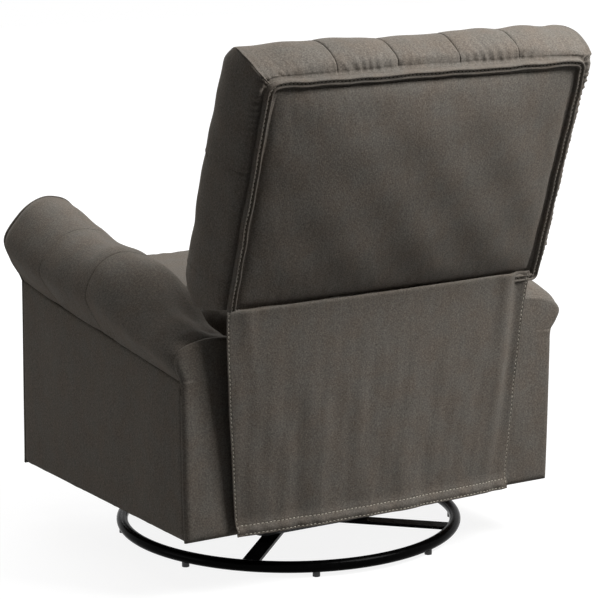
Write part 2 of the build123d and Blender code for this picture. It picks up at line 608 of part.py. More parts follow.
def roll_curve(y, draw_in=0.0, edge=0.0):
    """The rolled top of the arm at this y, from the outer seam over to the inner face.

    A draw-in pulls it down between its two seams, and an edge pulls the seams in as well.
    """
    z0 = seam_z(y)
    inset = draw_in + edge
    rise = between(ROLL_TOP_FRONT_Z, ROLL_TOP_REAR_Z, along_arm(y)) - inset - z0
    out = between(ROLL_OVERHANG_FRONT, ROLL_OVERHANG_REAR, along_arm(y)) - draw_in
    inner, outer = ARM_INNER_X + draw_in / 2 + edge, ARM_OUTER_X - edge
    width = outer - inner
    return Spline(
        (outer, z0),
        *[(outer + share * out, z0 + level * rise) for share, level in ROLL_OUTSIDE_SHARES],
        *[(outer - share * width, z0 + level * rise) for share, level in ROLL_OVER_SHARES],
        (inner, z0 + ROLL_INSIDE_SHARE * rise),
        (inner, z0),
    )


def arm_plane(y):
    """The upright plane across the arms at this y."""
    return Plane.XZ.offset(-y)


def facing_face(y, edge=0.0):
    """The arm seen from its end: the roll's outline with the leg below it."""
    curve = roll_curve(y, edge=edge)
    low = arm_bottom_z(y)
    outline = (
        curve
        + Line(curve @ 1, (ARM_INNER_X + edge, low))
        + Line((ARM_INNER_X + edge, low), (ARM_FOOT_X - edge, low))
        + Line((ARM_FOOT_X - edge, low), curve @ 0)
    )
    return arm_plane(y) * make_face(outline)


def arm_rolls(front, rear):
    """The stuffed rolls, drawn in at the seams across them."""
    seams = (front, *ROLL_SEAMS_Y, rear)
    steps = 4
    lengths = []
    for y0, y1 in zip(seams, seams[1:]):
        sections = []
        for k in range(steps + 1):
            share = k / steps
            y = between(y0, y1, share)
            curve = roll_curve(y, ROLL_SEAM_DEPTH * (2 * share - 1) ** 2)
            sections.append(arm_plane(y) * make_face(curve + Line(curve @ 1, curve @ 0)))
        lengths.append(loft(sections))
    save_pair("arm_roll", lengths[0] + lengths[1] + lengths[2])


def arm_panels(front, rear):
    """The outer panel, which bows out a little, and the flat inner panel beside the seat."""
    sections = []
    for y in (front, rear):
        low, high = arm_bottom_z(y), seam_z(y)
        middle = ((ARM_FOOT_X + 2 * ARM_OUTER_X) / 3, between(low, high, 0.6))
        outline = (
            Line((ARM_OUTER_X - ARM_PADDING, low), (ARM_FOOT_X, low))
            + ThreePointArc((ARM_FOOT_X, low), middle, (ARM_OUTER_X, high))
            + Line((ARM_OUTER_X, high), (ARM_OUTER_X - ARM_PADDING, high))
            + Line((ARM_OUTER_X - ARM_PADDING, high), (ARM_OUTER_X - ARM_PADDING, low))
        )
        sections.append(arm_plane(y) * make_face(outline))
    left, right = both(loft(sections, ruled=True))
    save("arm_outer_panel_left", left)
    save("arm_outer_panel_right", right - lever_bore())

    outline = [
        (front, ARM_INNER_BOTTOM_Z),
        (rear, ARM_INNER_BOTTOM_Z),
        (rear, seam_z(rear)),
        (front, seam_z(front)),
    ]
    left, right = both(side_plate(outline, ARM_INNER_X, ARM_PADDING))
    save("arm_inner_panel_left", left)
    save("arm_inner_panel_right", right - lever_bore())


def arm_facings(front, rear):
    """The stuffed front facing with its rounded edge, and the flat rear one."""
    sections = []
    for share in (0.0, 0.5, 0.8, 1.0):
        edge = FACING_ROUND * (1 - (1 - share**2) ** 0.5)
        sections.append(facing_face(ARM_FRONT_Y + FACING_ROUND * (1 - share), edge))
    rounded = loft(sections, ruled=True)
    flat = FACING_THICKNESS - FACING_ROUND
    rounded += extrude(facing_face(ARM_FRONT_Y + FACING_ROUND), amount=-flat)
    save_pair("arm_front", rounded)
    save_pair("arm_rear", extrude(facing_face(rear), amount=-ARM_PADDING))


def arm_frames(front, rear):
    """The posts and rails inside each arm."""
    inner, outer = ARM_INNER_X + ARM_PADDING, ARM_OUTER_X - ARM_PADDING
    foot = ARM_BOTTOM_REAR_Z + ARM_PADDING
    y0, y1 = front + ARM_BOARD, rear - ARM_BOARD

    def upright(low, high):
        outline = [(low, foot), (high, foot), (high, seam_z(high)), (low, seam_z(low))]
        return side_plate(outline, inner, outer - inner)

    top_outline = [
        (y0, seam_z(y0) - ARM_BOARD),
        (y1, seam_z(y1) - ARM_BOARD),
        (y1, seam_z(y1)),
        (y0, seam_z(y0)),
    ]
    boards = (
        upright(front, y0),
        upright(y1, rear),
        box((inner, outer), (y0, y1), (foot, foot + ARM_BOARD)),
        side_plate(top_outline, inner, outer - inner),
    )
    save("arm_frame_left", *boards)
    save("arm_frame_right", *[mirror(board, Plane.YZ) for board in boards])


def arms():
    """Both padded arms: rolls, panels, facings and the frames inside."""
    front, rear = ARM_FRONT_Y + FACING_THICKNESS, ARM_REAR_Y - ARM_PADDING
    arm_rolls(front, rear)
    arm_panels(front, rear)
    arm_facings(front, rear)
    arm_frames(front, rear)


# ---------------------------------------------------------------- back
def back_side_face(inset=0.0):
    """The back seen from the side: depth to the rear by height up the back."""
    deep = -BACK_SIDE_DEPTH + inset
    top_deep = -BACK_TOP_DEPTH + inset
    crest = BACK_HEIGHT + BACK_TOP_RISE - inset
    crest_at = between(-inset, top_deep, 0.5)
    in_depth, in_rise = BACK_SHOULDER_SHARES
    shoulder = between(BACK_HEIGHT, crest, in_rise)
    lip = (top_deep - BACK_TOP_LIP, BACK_HEIGHT)
    foot = (deep + BACK_FOOT_TUCK, 0)
    outline = (
        Line(foot, (-inset, 0))
        + Line((-inset, 0), (-inset, BACK_HEIGHT))
        + ThreePointArc(
            (-inset, BACK_HEIGHT), (between(-inset, crest_at, in_depth), shoulder), (crest_at, crest)
        )
        + ThreePointArc((crest_at, crest), (between(top_deep, crest_at, in_depth), shoulder), lip)
        + ThreePointArc(lip, (deep - BACK_CROWN, BACK_FULLEST_SHARE * BACK_HEIGHT), foot)
    )
    return make_face(outline)


def back_plan_face(inset=0.0):
    """The back cut square to its height: X by depth to the rear."""
    w, deep = BACK_HALF_WIDTH - inset, -BACK_SIDE_DEPTH + inset
    right = [
        (w, 0),
        (w + 0.52 * BACK_BULGE, -0.3 * BACK_EDGE),
        (w + 0.72 * BACK_BULGE, -BACK_EDGE),
        (w + BACK_BULGE, 0.48 * deep),
        (w + 0.7 * BACK_BULGE, 0.93 * deep),
        (w + 0.15 * BACK_BULGE, 1.07 * deep),
        (w - 0.8 * BACK_BULGE, 1.12 * deep),
    ]
    left = [(-x, n) for x, n in reversed(right)]
    outline = (
        ThreePointArc(*right[0:3])
        + ThreePointArc(*right[2:5])
        + ThreePointArc(*right[4:7])
        + ThreePointArc(right[6], (0, deep - BACK_CROSS_CROWN), left[0])
        + ThreePointArc(*left[0:3])
        + ThreePointArc(*left[2:5])
        + ThreePointArc(*left[4:7])
        + Line(left[6], right[0])
    )
    return make_face(outline)


def back_outline_face():
    """The back seen from behind, with its rounded corners: X by height up the back."""
    w = BACK_HALF_WIDTH + BACK_BULGE
    top = BACK_HEIGHT + BACK_TOP_RISE
    low, high = 0.5 * BACK_CORNER, BACK_CORNER
    bite_low, bite_high = low * (1 - cos(pi / 4)), high * (1 - cos(pi / 4))
    outline = (
        Line((-w + low, 0), (w - low, 0))
        + ThreePointArc((w - low, 0), (w - bite_low, bite_low), (w, low))
        + Line((w, low), (w, top - high))
        + ThreePointArc((w, top - high), (w - bite_high, top - bite_high), (w - high, top))
        + Line((w - high, top), (-w + high, top))
        + ThreePointArc((-w + high, top), (-w + bite_high, top - bite_high), (-w, top - high))
        + Line((-w, top - high), (-w, low))
        + ThreePointArc((-w, low), (-w + bite_low, bite_low), (-w + low, 0))
    )
    return make_face(outline)


def tuft_points():
    """Where the buttons sit, as (X, height up the back) pairs."""
    points = []
    for row in range(TUFT_ROWS):
        columns = (-2, -1, 0, 1, 2) if row % 2 == 0 else (-1.5, -0.5, 0.5, 1.5)
        points += [(column * TUFT_COLUMN, TUFT_FIRST_ROW + row * TUFT_ROW) for column in columns]
    return points


def front_depth(body, x, u):
    """How far in front of the back's plane the cushion's face lies at this place."""
    ray = Axis(BACK_PLANE.from_local_coords((x, u, 2 * BACK_SIDE_DEPTH)), -BACK_PLANE.z_dir)
    hits = body.find_intersection_points(ray)
    return max(BACK_PLANE.to_local_coords(point).Z for point, _ in hits)


def back_board(x, u, gap=0.0):
    """A board of the back's wooden frame, from (low, high) pairs, or the room that it needs."""
    middle = Pos((x[0] + x[1]) / 2, (u[0] + u[1]) / 2)
    face = middle * Rectangle(x[1] - x[0] + 2 * gap, u[1] - u[0] + 2 * gap)
    return extrude(BACK_PLANE.offset(FRAME_INSET) * face, amount=FRAME_DEPTH + gap)


def back_boards(gap=0.0):
    """The two posts, the top, middle and foot rails."""
    top = BACK_HEIGHT - FRAME_INSET
    middle = (BACK_HEIGHT - FRAME_BOARD) / 2
    return [
        *both(back_board((POST_X, POST_X + POST_WIDTH), (-POST_DROP, top - FRAME_BOARD), gap)),
        back_board((-FRAME_HALF_WIDTH, FRAME_HALF_WIDTH), (top - FRAME_BOARD, top), gap),
        back_board((-POST_X, POST_X), (middle, middle + FRAME_BOARD), gap),
        back_board((-POST_X, POST_X), (0, FRAME_BOARD), gap),
    ]


def panel_window(depth):
    """The space behind the frame that the rear panel fills, this deep from the back's plane."""
    top = BACK_HEIGHT - FRAME_INSET
    return extrude(BACK_PLANE * Pos(0, top / 2) * Rectangle(2 * FRAME_HALF_WIDTH, top), amount=depth)


def back_cushion():
    """The tufted cushion that wraps the frame, with pleats over its top and round its sides."""
    reach = BACK_HALF_WIDTH + BACK_BULGE
    top = BACK_HEIGHT + BACK_TOP_RISE
    body = extrude(SIDE_PLANE * back_side_face(), amount=reach, both=True)
    body &= extrude(DEPTH_PLANE * back_plan_face(), amount=top)
    body &= extrude(BACK_PLANE * back_outline_face(), amount=BACK_SIDE_DEPTH + 2 * BACK_CROWN)
    smooth = body

    over_top = back_side_face() - back_side_face(PLEAT_DEPTH)
    over_top &= Pos(-BACK_SIDE_DEPTH / 2, BACK_HEIGHT + top / 2) * Rectangle(2 * BACK_SIDE_DEPTH, top)
    for k in (-1.5, -0.5, 0.5, 1.5):
        start = k * TUFT_COLUMN - PLEAT_WIDTH / 2
        body -= extrude(SIDE_PLANE.offset(start) * over_top, amount=PLEAT_WIDTH)
    round_side = back_plan_face() - back_plan_face(PLEAT_DEPTH)
    round_side -= Rectangle(4 * TUFT_COLUMN, 4 * BACK_SIDE_DEPTH)
    for row in range(0, TUFT_ROWS, 2):
        start = TUFT_FIRST_ROW + row * TUFT_ROW - PLEAT_WIDTH / 2
        body -= extrude(DEPTH_PLANE.offset(start) * round_side, amount=PLEAT_WIDTH)

    def diamond(half):
        tall = half * TUFT_ROW / TUFT_COLUMN
        return make_face(Polyline((half, 0), (0, tall), (-half, 0), (0, -tall), close=True))

    buttons = []
    for x, u in tuft_points():
        depth = front_depth(smooth, x, u)
        floor = depth - TUFT_DEPTH
        body -= loft([
            BACK_PLANE.offset(floor) * Pos(x, u) * diamond(TUFT_FLOOR),
            BACK_PLANE.offset(depth + TUFT_DEPTH / 4) * Pos(x, u) * diamond(TUFT_REACH),
        ])
        button = BACK_PLANE.offset(floor) * Pos(x, u) * RegularPolygon(BUTTON_DIAMETER / 2, BUTTON_SIDES)
        buttons.append(extrude(button, amount=BUTTON_HEIGHT))
    save("back_buttons", *buttons)

    body -= panel_window(FRAME_INSET)
    bracket_at = (BRACKET_X, BRACKET_X + BRACKET_THICKNESS)
    bracket_rooms = both(back_board(bracket_at, (0, FRAME_BOARD), POCKET_GAP))
    for room in (*back_boards(POCKET_GAP), *bracket_rooms):
        body -= room
    save("back_cushion", body)


def back_lower_cushion():
    """The part of the back that goes down between the arms, in front of the frame."""
    front_of_frame = FRAME_INSET + FRAME_DEPTH + POCKET_GAP
    width = 2 * (BRACKET_X - LOWER_BACK_GAP)
    face = Pos(0, -LOWER_BACK_DROP / 2) * Rectangle(width, LOWER_BACK_DROP)
    save("back_lower_cushion", extrude(
        BACK_PLANE.offset(front_of_frame) * face, amount=LOWER_BACK_DEPTH - front_of_frame
    ))


def back_panel():
    """The upholstered panel inside the welts, swelling to the rear both ways."""
    margin = WELT_SPACING + WELT_DIAMETER / 2
    half = BACK_HALF_WIDTH - margin
    deep = -2 * FRAME_INSET

    def swelling(low, high, crown):
        return make_face(
            Line((low, deep), (high, deep))
            + Line((high, deep), (high, PANEL_EDGE))
            + ThreePointArc((high, PANEL_EDGE), ((low + high) / 2, crown), (low, PANEL_EDGE))
            + Line((low, PANEL_EDGE), (low, deep))
        )

    crosswise = extrude(DEPTH_PLANE * swelling(-half, half, PANEL_CROWN), amount=BACK_HEIGHT)
    upright = Plane(origin=SIDE_PLANE.origin, x_dir=DEPTH_PLANE.z_dir, z_dir=(-1, 0, 0))
    lengthwise = extrude(
        upright * swelling(margin, BACK_HEIGHT - margin, PANEL_TALL_CROWN),
        amount=BACK_HALF_WIDTH, both=True,
    )
    width, height = 2 * (half - PANEL_GAP), BACK_HEIGHT - 2 * (margin + PANEL_GAP)
    outline = RectangleRounded(width, height, WELT_CORNER - WELT_DIAMETER / 2)
    lip = extrude(BACK_PLANE * Pos(0, BACK_HEIGHT / 2) * outline, amount=-2 * PANEL_CROWN)
    save("back_panel", (crosswise & lengthwise) & (panel_window(FRAME_INSET) + lip))


def back_welt():
    """Two piped cords round the rear panel, each sewn in by its flat foot."""
    radius = WELT_DIAMETER / 2
    section = Pos(-radius, 0) * Circle(radius) + Pos(-radius / 2, 0) * Rectangle(radius, WELT_DIAMETER)
    welts = []
    for inset in (0, WELT_SPACING):
        outline = RectangleRounded(2 * (BACK_HALF_WIDTH - inset), BACK_HEIGHT - 2 * inset, WELT_CORNER)
        path = (BACK_PLANE * Pos(0, BACK_HEIGHT / 2) * outline).face().outer_wire()
        across = Plane(origin=path @ 0, x_dir=BACK_PLANE.z_dir, z_dir=path % 0)
        welts.append(sweep(across * section, path=path))
    save("back_welt", *welts)


def back_brackets():
    """Steel brackets that hang the back's posts on the recline pins."""
    slope = radians(BACK_LEAN)

    def on_back(u, n):
        y = BACK_FOOT_Y + u * sin(slope) + n * cos(slope)
        return (y, BACK_FOOT_Z + u * cos(slope) - n * sin(slope))

    lug = RECLINE_PIN_DIAMETER / 2 + PIN_LAND
    rear, front = -FRAME_INSET, -FRAME_INSET - FRAME_DEPTH
    bracket = side_plate(
        [
            (RECLINE_Y - lug, RECLINE_Z),
            (RECLINE_Y, RECLINE_Z - lug),
            (RECLINE_Y + lug, RECLINE_Z - lug / 2),
            on_back(-POST_DROP, rear),
            on_back(FRAME_BOARD, rear),
            on_back(FRAME_BOARD, front),
            on_back(-POST_DROP, front),
            (RECLINE_Y - lug / 2, RECLINE_Z + lug),
        ],
        BRACKET_X,
        BRACKET_THICKNESS,
    )
    bore = RECLINE_PIN_DIAMETER + 2 * RUNNING_FIT
    bracket -= cross_bore(BRACKET_X, BRACKET_THICKNESS, RECLINE_Y, RECLINE_Z, bore)
    save("back_brackets", *both(bracket))


def rear_flap():
    """The cloth that hangs from the back's lower edge, with soft folds that grow to the hem."""
    levels = 5
    sections = []
    for k in range(levels):
        share = k / (levels - 1)
        z = between(FLAP_TOP_Z, FLAP_BOTTOM_Z, share)
        half = between(FLAP_TOP_HALF, FLAP_BOTTOM_HALF, share)
        y = between(FLAP_TOP_Y, FLAP_BOTTOM_Y, share)
        points = []
        steps = 4 * FLAP_FOLDS
        for j in range(steps + 1):
            t = j / steps
            bow = FLAP_BOW * (1 - (2 * t - 1) ** 2)
            fold = FLAP_FOLD * share * (1 - cos(2 * pi * FLAP_FOLDS * t)) / 2
            points.append((half * (1 - 2 * t), y + bow + fold))
        behind = [(x, y + FLAP_THICKNESS) for x, y in reversed(points)]
        near, far = Spline(*points), Spline(*behind)
        face = make_face(near + Line(near @ 1, far @ 0) + far + Line(far @ 1, near @ 0))
        sections.append(Pos(0, 0, z) * face)
    save("rear_flap", loft(sections, ruled=True))


# ---------------------------------------------------------------- footrest
def footrest():
    """Folding links, torque tube, board and pad."""
    path = radians(180 - FOOTREST_TRAVEL_TILT)
    fold = radians(FOOTREST_FOLD)
    drive = (cos(path + fold), sin(path + fold))
    front = (cos(path - fold), sin(path - fold))
    length = FOOTREST_LINK_LENGTH
    root = (FOOTREST_Y, FOOTREST_Z)
    elbow = (root[0] + length * drive[0], root[1] + length * drive[1])
    toe = (elbow[0] + length * front[0], elbow[1] + length * front[1])
    back_off = (-STAY_OFFSET * drive[0], -STAY_OFFSET * drive[1])
    stay_low = (elbow[0] + back_off[0], elbow[1] + back_off[1])
    stay_high = (toe[0] + back_off[0], toe[1] + back_off[1])
    tube_at = (root[0] + TORQUE_TUBE_OFFSET * drive[0], root[1] + TORQUE_TUBE_OFFSET * drive[1])
    width, thick = FOOTREST_LINK_WIDTH, FOOTREST_LINK_THICKNESS
    pin, bore = FOOTREST_PIN_DIAMETER, FOOTREST_PIN_DIAMETER + 2 * RUNNING_FIT

    drive_link = link(
        root, elbow, width, DRIVE_LINK_X, thick, [(root, bore), (elbow, pin), (stay_low, pin)]
    )
    save("footrest_drive_links", *both(drive_link))
    save("footrest_torque_tube", rod(-DRIVE_LINK_X, DRIVE_LINK_X, *tube_at, TORQUE_TUBE_DIAMETER))
    elbow_pin = rod(FOOTREST_INNER_X, DRIVE_LINK_X + thick, *elbow, pin)
    stay_pin = rod(DRIVE_LINK_X, STAY_X + thick, *stay_low, pin)
    save("footrest_elbow_pins", *both(elbow_pin), *both(stay_pin))
    front_link = link(elbow, toe, width, FOOTREST_INNER_X, thick, [(elbow, bore), (toe, bore)])
    save("footrest_front_links", *both(front_link))
    open_bore = pin + 2 * STAY_FIT
    stay = link(stay_low, stay_high, STAY_WIDTH, STAY_X, thick, [(stay_low, bore), (stay_high, open_bore)])
    save("footrest_stays", *both(stay))

    board_rear = toe[0] - width / 2 - FOOTREST_BOARD_GAP
    board_front = board_rear - FOOTREST_BOARD_THICKNESS
    bracket = side_plate(
        [
            (board_rear, toe[1] - width / 2),
            (toe[0], toe[1] - width / 2),
            (toe[0] + width / 2, toe[1]),
            (stay_high[0] + width / 2, stay_high[1]),
            (stay_high[0], stay_high[1] + STAY_WIDTH / 2),
            (board_rear, stay_high[1] - width / 2),
        ],
        DRIVE_LINK_X, thick,
    )
    bracket += rod(FOOTREST_INNER_X, DRIVE_LINK_X, *toe, pin)
    bracket += rod(DRIVE_LINK_X + thick, STAY_X + thick, *stay_high, pin)
    save("footrest_brackets", *both(bracket))

    across = (-FOOTREST_HALF_WIDTH, FOOTREST_HALF_WIDTH)
    save("footrest_board", box(across, (board_front, board_rear), (FOOTREST_BOTTOM_Z, FOOTREST_TOP_Z)))
    pad = box(across, (FOOTREST_PAD_FRONT_Y, board_front), (FOOTREST_BOTTOM_Z, FOOTREST_TOP_Z))
    pad = fillet(pad.faces().sort_by(Axis.Y)[0].edges(), FOOTREST_PAD_EDGE)
    save("footrest_pad", pad)


def lever_bore():
    """Clears the lever's shaft through the right arm and the mechanism."""
    bore = LEVER_SHAFT_DIAMETER + 2 * SHAFT_GAP
    return rod(-ARM_OUTER_X - CUT_PAST, -MECH_PLATE_X + CUT_PAST, LEVER_Y, LEVER_Z, bore)


def lever():
    """The release lever: a shaft through the right arm with a flat handle."""
    handle_x = -(ARM_OUTER_X + LEVER_STANDOFF)
    shaft = rod(-MECH_PLATE_X, handle_x, LEVER_Y, LEVER_Z, LEVER_SHAFT_DIAMETER)
    face = Pos(LEVER_Y - LEVER_LENGTH / 2, LEVER_Z) * SlotCenterToCenter(LEVER_LENGTH, LEVER_WIDTH)
    handle = extrude(Plane.YZ.offset(handle_x) * face, amount=-LEVER_THICKNESS)
    handle = chamfer(handle.faces().sort_by(Axis.X)[0].edges(), LEVER_THICKNESS / 3)
    save("release_lever", shaft + handle)


# ---------------------------------------------------------------- all pieces
os.makedirs("parts", exist_ok=True)
ring_base()
swivel_bearing()
glide_suspension()
seat_frame()
seat_cushion()
arms()
back_cushion()
back_lower_cushion()
back_panel()
back_welt()
back_brackets()
save("back_frame", *back_boards())
rear_flap()
footrest()
lever()
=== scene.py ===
"""Dresses the swivel glider recliner: upholstery, stitching, enamel and plated steel.

Sizes are millimetres from the swivel axis at the floor: X to the sitter's left, Y to the
rear and Z up. The back has axes of its own: x across, u up its leaning rear plane and n
out of that plane to the rear.
"""

import sys

import json
import logging
from dataclasses import dataclass
from enum import Enum
from typing import Mapping, Optional, Sequence

import bmesh
import bpy
import numpy as np
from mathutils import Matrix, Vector

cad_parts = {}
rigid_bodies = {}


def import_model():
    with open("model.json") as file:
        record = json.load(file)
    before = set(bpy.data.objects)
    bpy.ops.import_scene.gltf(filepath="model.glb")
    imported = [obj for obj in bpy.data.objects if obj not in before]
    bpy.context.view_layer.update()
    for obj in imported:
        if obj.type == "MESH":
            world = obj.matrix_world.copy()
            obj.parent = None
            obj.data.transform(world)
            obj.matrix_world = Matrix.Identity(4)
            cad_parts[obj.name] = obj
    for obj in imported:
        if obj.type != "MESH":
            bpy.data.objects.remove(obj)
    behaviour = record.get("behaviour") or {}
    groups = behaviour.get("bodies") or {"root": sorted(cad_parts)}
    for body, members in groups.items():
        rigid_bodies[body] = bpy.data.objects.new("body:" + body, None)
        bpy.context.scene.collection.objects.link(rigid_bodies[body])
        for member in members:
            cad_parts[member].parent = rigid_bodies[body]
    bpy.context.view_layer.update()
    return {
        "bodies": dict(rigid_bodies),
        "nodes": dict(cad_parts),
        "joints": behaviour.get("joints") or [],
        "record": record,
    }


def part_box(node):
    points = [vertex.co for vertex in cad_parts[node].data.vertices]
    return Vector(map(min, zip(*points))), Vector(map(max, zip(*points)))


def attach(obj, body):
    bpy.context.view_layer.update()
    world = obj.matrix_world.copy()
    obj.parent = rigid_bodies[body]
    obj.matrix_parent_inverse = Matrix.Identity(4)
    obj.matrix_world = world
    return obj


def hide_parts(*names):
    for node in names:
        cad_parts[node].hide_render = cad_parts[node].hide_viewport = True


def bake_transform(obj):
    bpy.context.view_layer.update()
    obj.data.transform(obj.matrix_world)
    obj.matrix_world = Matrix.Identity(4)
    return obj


MM = 0.001
FAR = 1e3
LOG = logging.getLogger("recliner")


def chair_axis() -> np.ndarray:
    """Where the swivel axis meets the floor, in the frame's metres: the middle of the floor ring."""
    low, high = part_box("base_ring")
    return np.array([0.0, (low.y + high.y) / 2, 0.0])


# ---------------------------------------------------------------- curves and grids
def smoothstep(low: float, high: float, value: np.ndarray) -> np.ndarray:
    """Eases from 0 below low to 1 above high.

    Args:
        low: where the rise starts.
        high: where it ends.
        value: the places to work it out for.

    Returns:
        The eased shares, from 0 to 1.
    """
    share = np.clip((value - low) / (high - low), 0.0, 1.0)
    return share * share * (3.0 - 2.0 * share)


def ripple(points: np.ndarray, wavelength: float, seed: int) -> np.ndarray:
    """Soft waves with no pattern, the same on every run.

    Args:
        points: places, one row each.
        wavelength: the usual distance between two crests.
        seed: picks one of the many patterns.

    Returns:
        A height of about -1 to 1 for each place.
    """
    random = np.random.default_rng(seed)
    waves = 6
    total = np.zeros(points.shape[:-1])
    for _ in range(waves):
        direction = random.normal(size=points.shape[-1])
        direction /= np.linalg.norm(direction)
        turns = random.uniform(0.7, 1.5) / wavelength
        total += np.sin(2 * np.pi * (turns * (points @ direction) + random.uniform()))
    return total / (1.3 * np.sqrt(waves))


def bell(distance: np.ndarray, width: float) -> np.ndarray:
    """A bump of height 1 at a line, which fades on both sides to about a third at the width."""
    return np.exp(-((distance / width) ** 2))


def gathers(turns: np.ndarray) -> np.ndarray:
    """Puckers of cloth drawn in by a thread: round humps with sharp valleys, one to each turn."""
    return 1.2 - 2.2 * np.abs(np.sin(np.pi * turns)) ** 0.7


def crease(distance: np.ndarray, depth: float, width: float) -> np.ndarray:
    """The dip of a sewn line: a sharp valley with soft shoulders.

    Args:
        distance: how far each place is from the line.
        depth: the valley's depth.
        width: where the dip has sunk to about a third.

    Returns:
        Negative heights.
    """
    return -depth * np.exp(-np.abs(distance) / width)


def lengths_along(path: np.ndarray) -> np.ndarray:
    """How far each place of a path lies from its start, along the path."""
    return np.concatenate([[0.0], np.cumsum(np.linalg.norm(np.diff(path, axis=0), axis=1))])


def read_along(wanted: np.ndarray, lengths: np.ndarray, values: np.ndarray) -> np.ndarray:
    """Reads a path's places, or other values on it, at wanted lengths.

    Args:
        wanted: how far along the path.
        lengths: how far each value lies from the start.
        values: one row for each place of the path.

    Returns:
        One row for each wanted length.
    """
    return np.stack([np.interp(wanted, lengths, column) for column in values.T], axis=-1)


def unit(vectors: np.ndarray) -> np.ndarray:
    """The vectors, one in each row, brought to a length of 1."""
    return vectors / np.linalg.norm(vectors, axis=1, keepdims=True)


def directions(degrees: np.ndarray) -> np.ndarray:
    """The flat unit vectors that point this many degrees from the first axis."""
    angles = np.radians(degrees)
    return np.stack([np.cos(angles), np.sin(angles)], axis=-1)


def round_off(edge: np.ndarray, radius: float) -> np.ndarray:
    """How far a rounded edge falls away: 1 at the edge itself and 0 from one radius inwards."""
    return 1.0 - np.sqrt(1.0 - (1.0 - np.clip(edge / radius, 0.0, 1.0)) ** 2)


def curve_through(points: Sequence[Sequence[float]], shares: np.ndarray) -> np.ndarray:
    """A smooth curve through points, read at shares of its length.

    Args:
        points: the places that it passes.
        shares: from 0 at its start to 1 at its end.

    Returns:
        One row for each share.
    """
    given = np.asarray(points, float)
    ends = np.vstack([2 * given[0] - given[1], given, 2 * given[-1] - given[-2]])
    steps = np.linspace(0.0, 1.0, 24, endpoint=False)[:, None]
    runs = []
    for before, start, stop, after in zip(ends, ends[1:], ends[2:], ends[3:]):
        runs.append(0.5 * (
            2 * start
            + (stop - before) * steps
            + (2 * before - 5 * start + 4 * stop - after) * steps**2
            + (3 * start - before - 3 * stop + after) * steps**3
        ))
    dense = np.vstack([*runs, given[-1:]])
    lengths = lengths_along(dense)
    return read_along(np.asarray(shares) * lengths[-1], lengths, dense)


def spread(low: float, high: float, step: float, fine_at: Sequence[float] = ()) -> np.ndarray:
    """Values from low to high, closer together beside the seams.

    Args:
        low: the first value.
        high: the last value.
        step: the usual distance between two values.
        fine_at: the seams' places.

    Returns:
        Rising values.
    """
    values = list(np.linspace(low, high, max(2, int(round((high - low) / step)) + 1)))
    beside = np.array([0.5, 1.2, 2.2, 3.4, 5.0, 7.0])
    offsets = np.concatenate([-beside[::-1], [0.0], beside])
    clear = beside[-1] + 1.0
    for place in fine_at:
        values = [v for v in values if abs(v - place) > clear or v in (low, high)]
        values += [v for v in place + offsets if low < v < high]
    return np.array(sorted(set(values)))


def fine_ends(
    low: float, high: float, strips: tuple[float, float], counts: tuple[int, int, int]
) -> np.ndarray:
    """Values from low to high, closer together in a strip at each end.

    Args:
        low: the first value.
        high: the last value.
        strips: how wide the two strips are.
        counts: values in the first strip, between them and in the last strip.

    Returns:
        Rising values.
    """
    first, last = low + strips[0], high - strips[1]
    return np.concatenate([
        np.linspace(low, first, counts[0])[:-1],
        np.linspace(first, last, counts[1]),
        np.linspace(last, high, counts[2])[1:],
    ])


def grid_normals(points: np.ndarray, closed: bool = False) -> np.ndarray:
    """Unit normals of a grid of points.

    Args:
        points: rows by columns by 3.
        closed: whether its last column meets its first.

    Returns:
        One normal for each point, on the side of rows crossed with columns.
    """
    along = np.gradient(points, axis=0)
    if closed:
        across = np.roll(points, -1, axis=1) - np.roll(points, 1, axis=1)
    else:
        across = np.gradient(points, axis=1)
    normals = np.cross(along, across)
    return normals / np.maximum(np.linalg.norm(normals, axis=-1, keepdims=True), 1e-9)


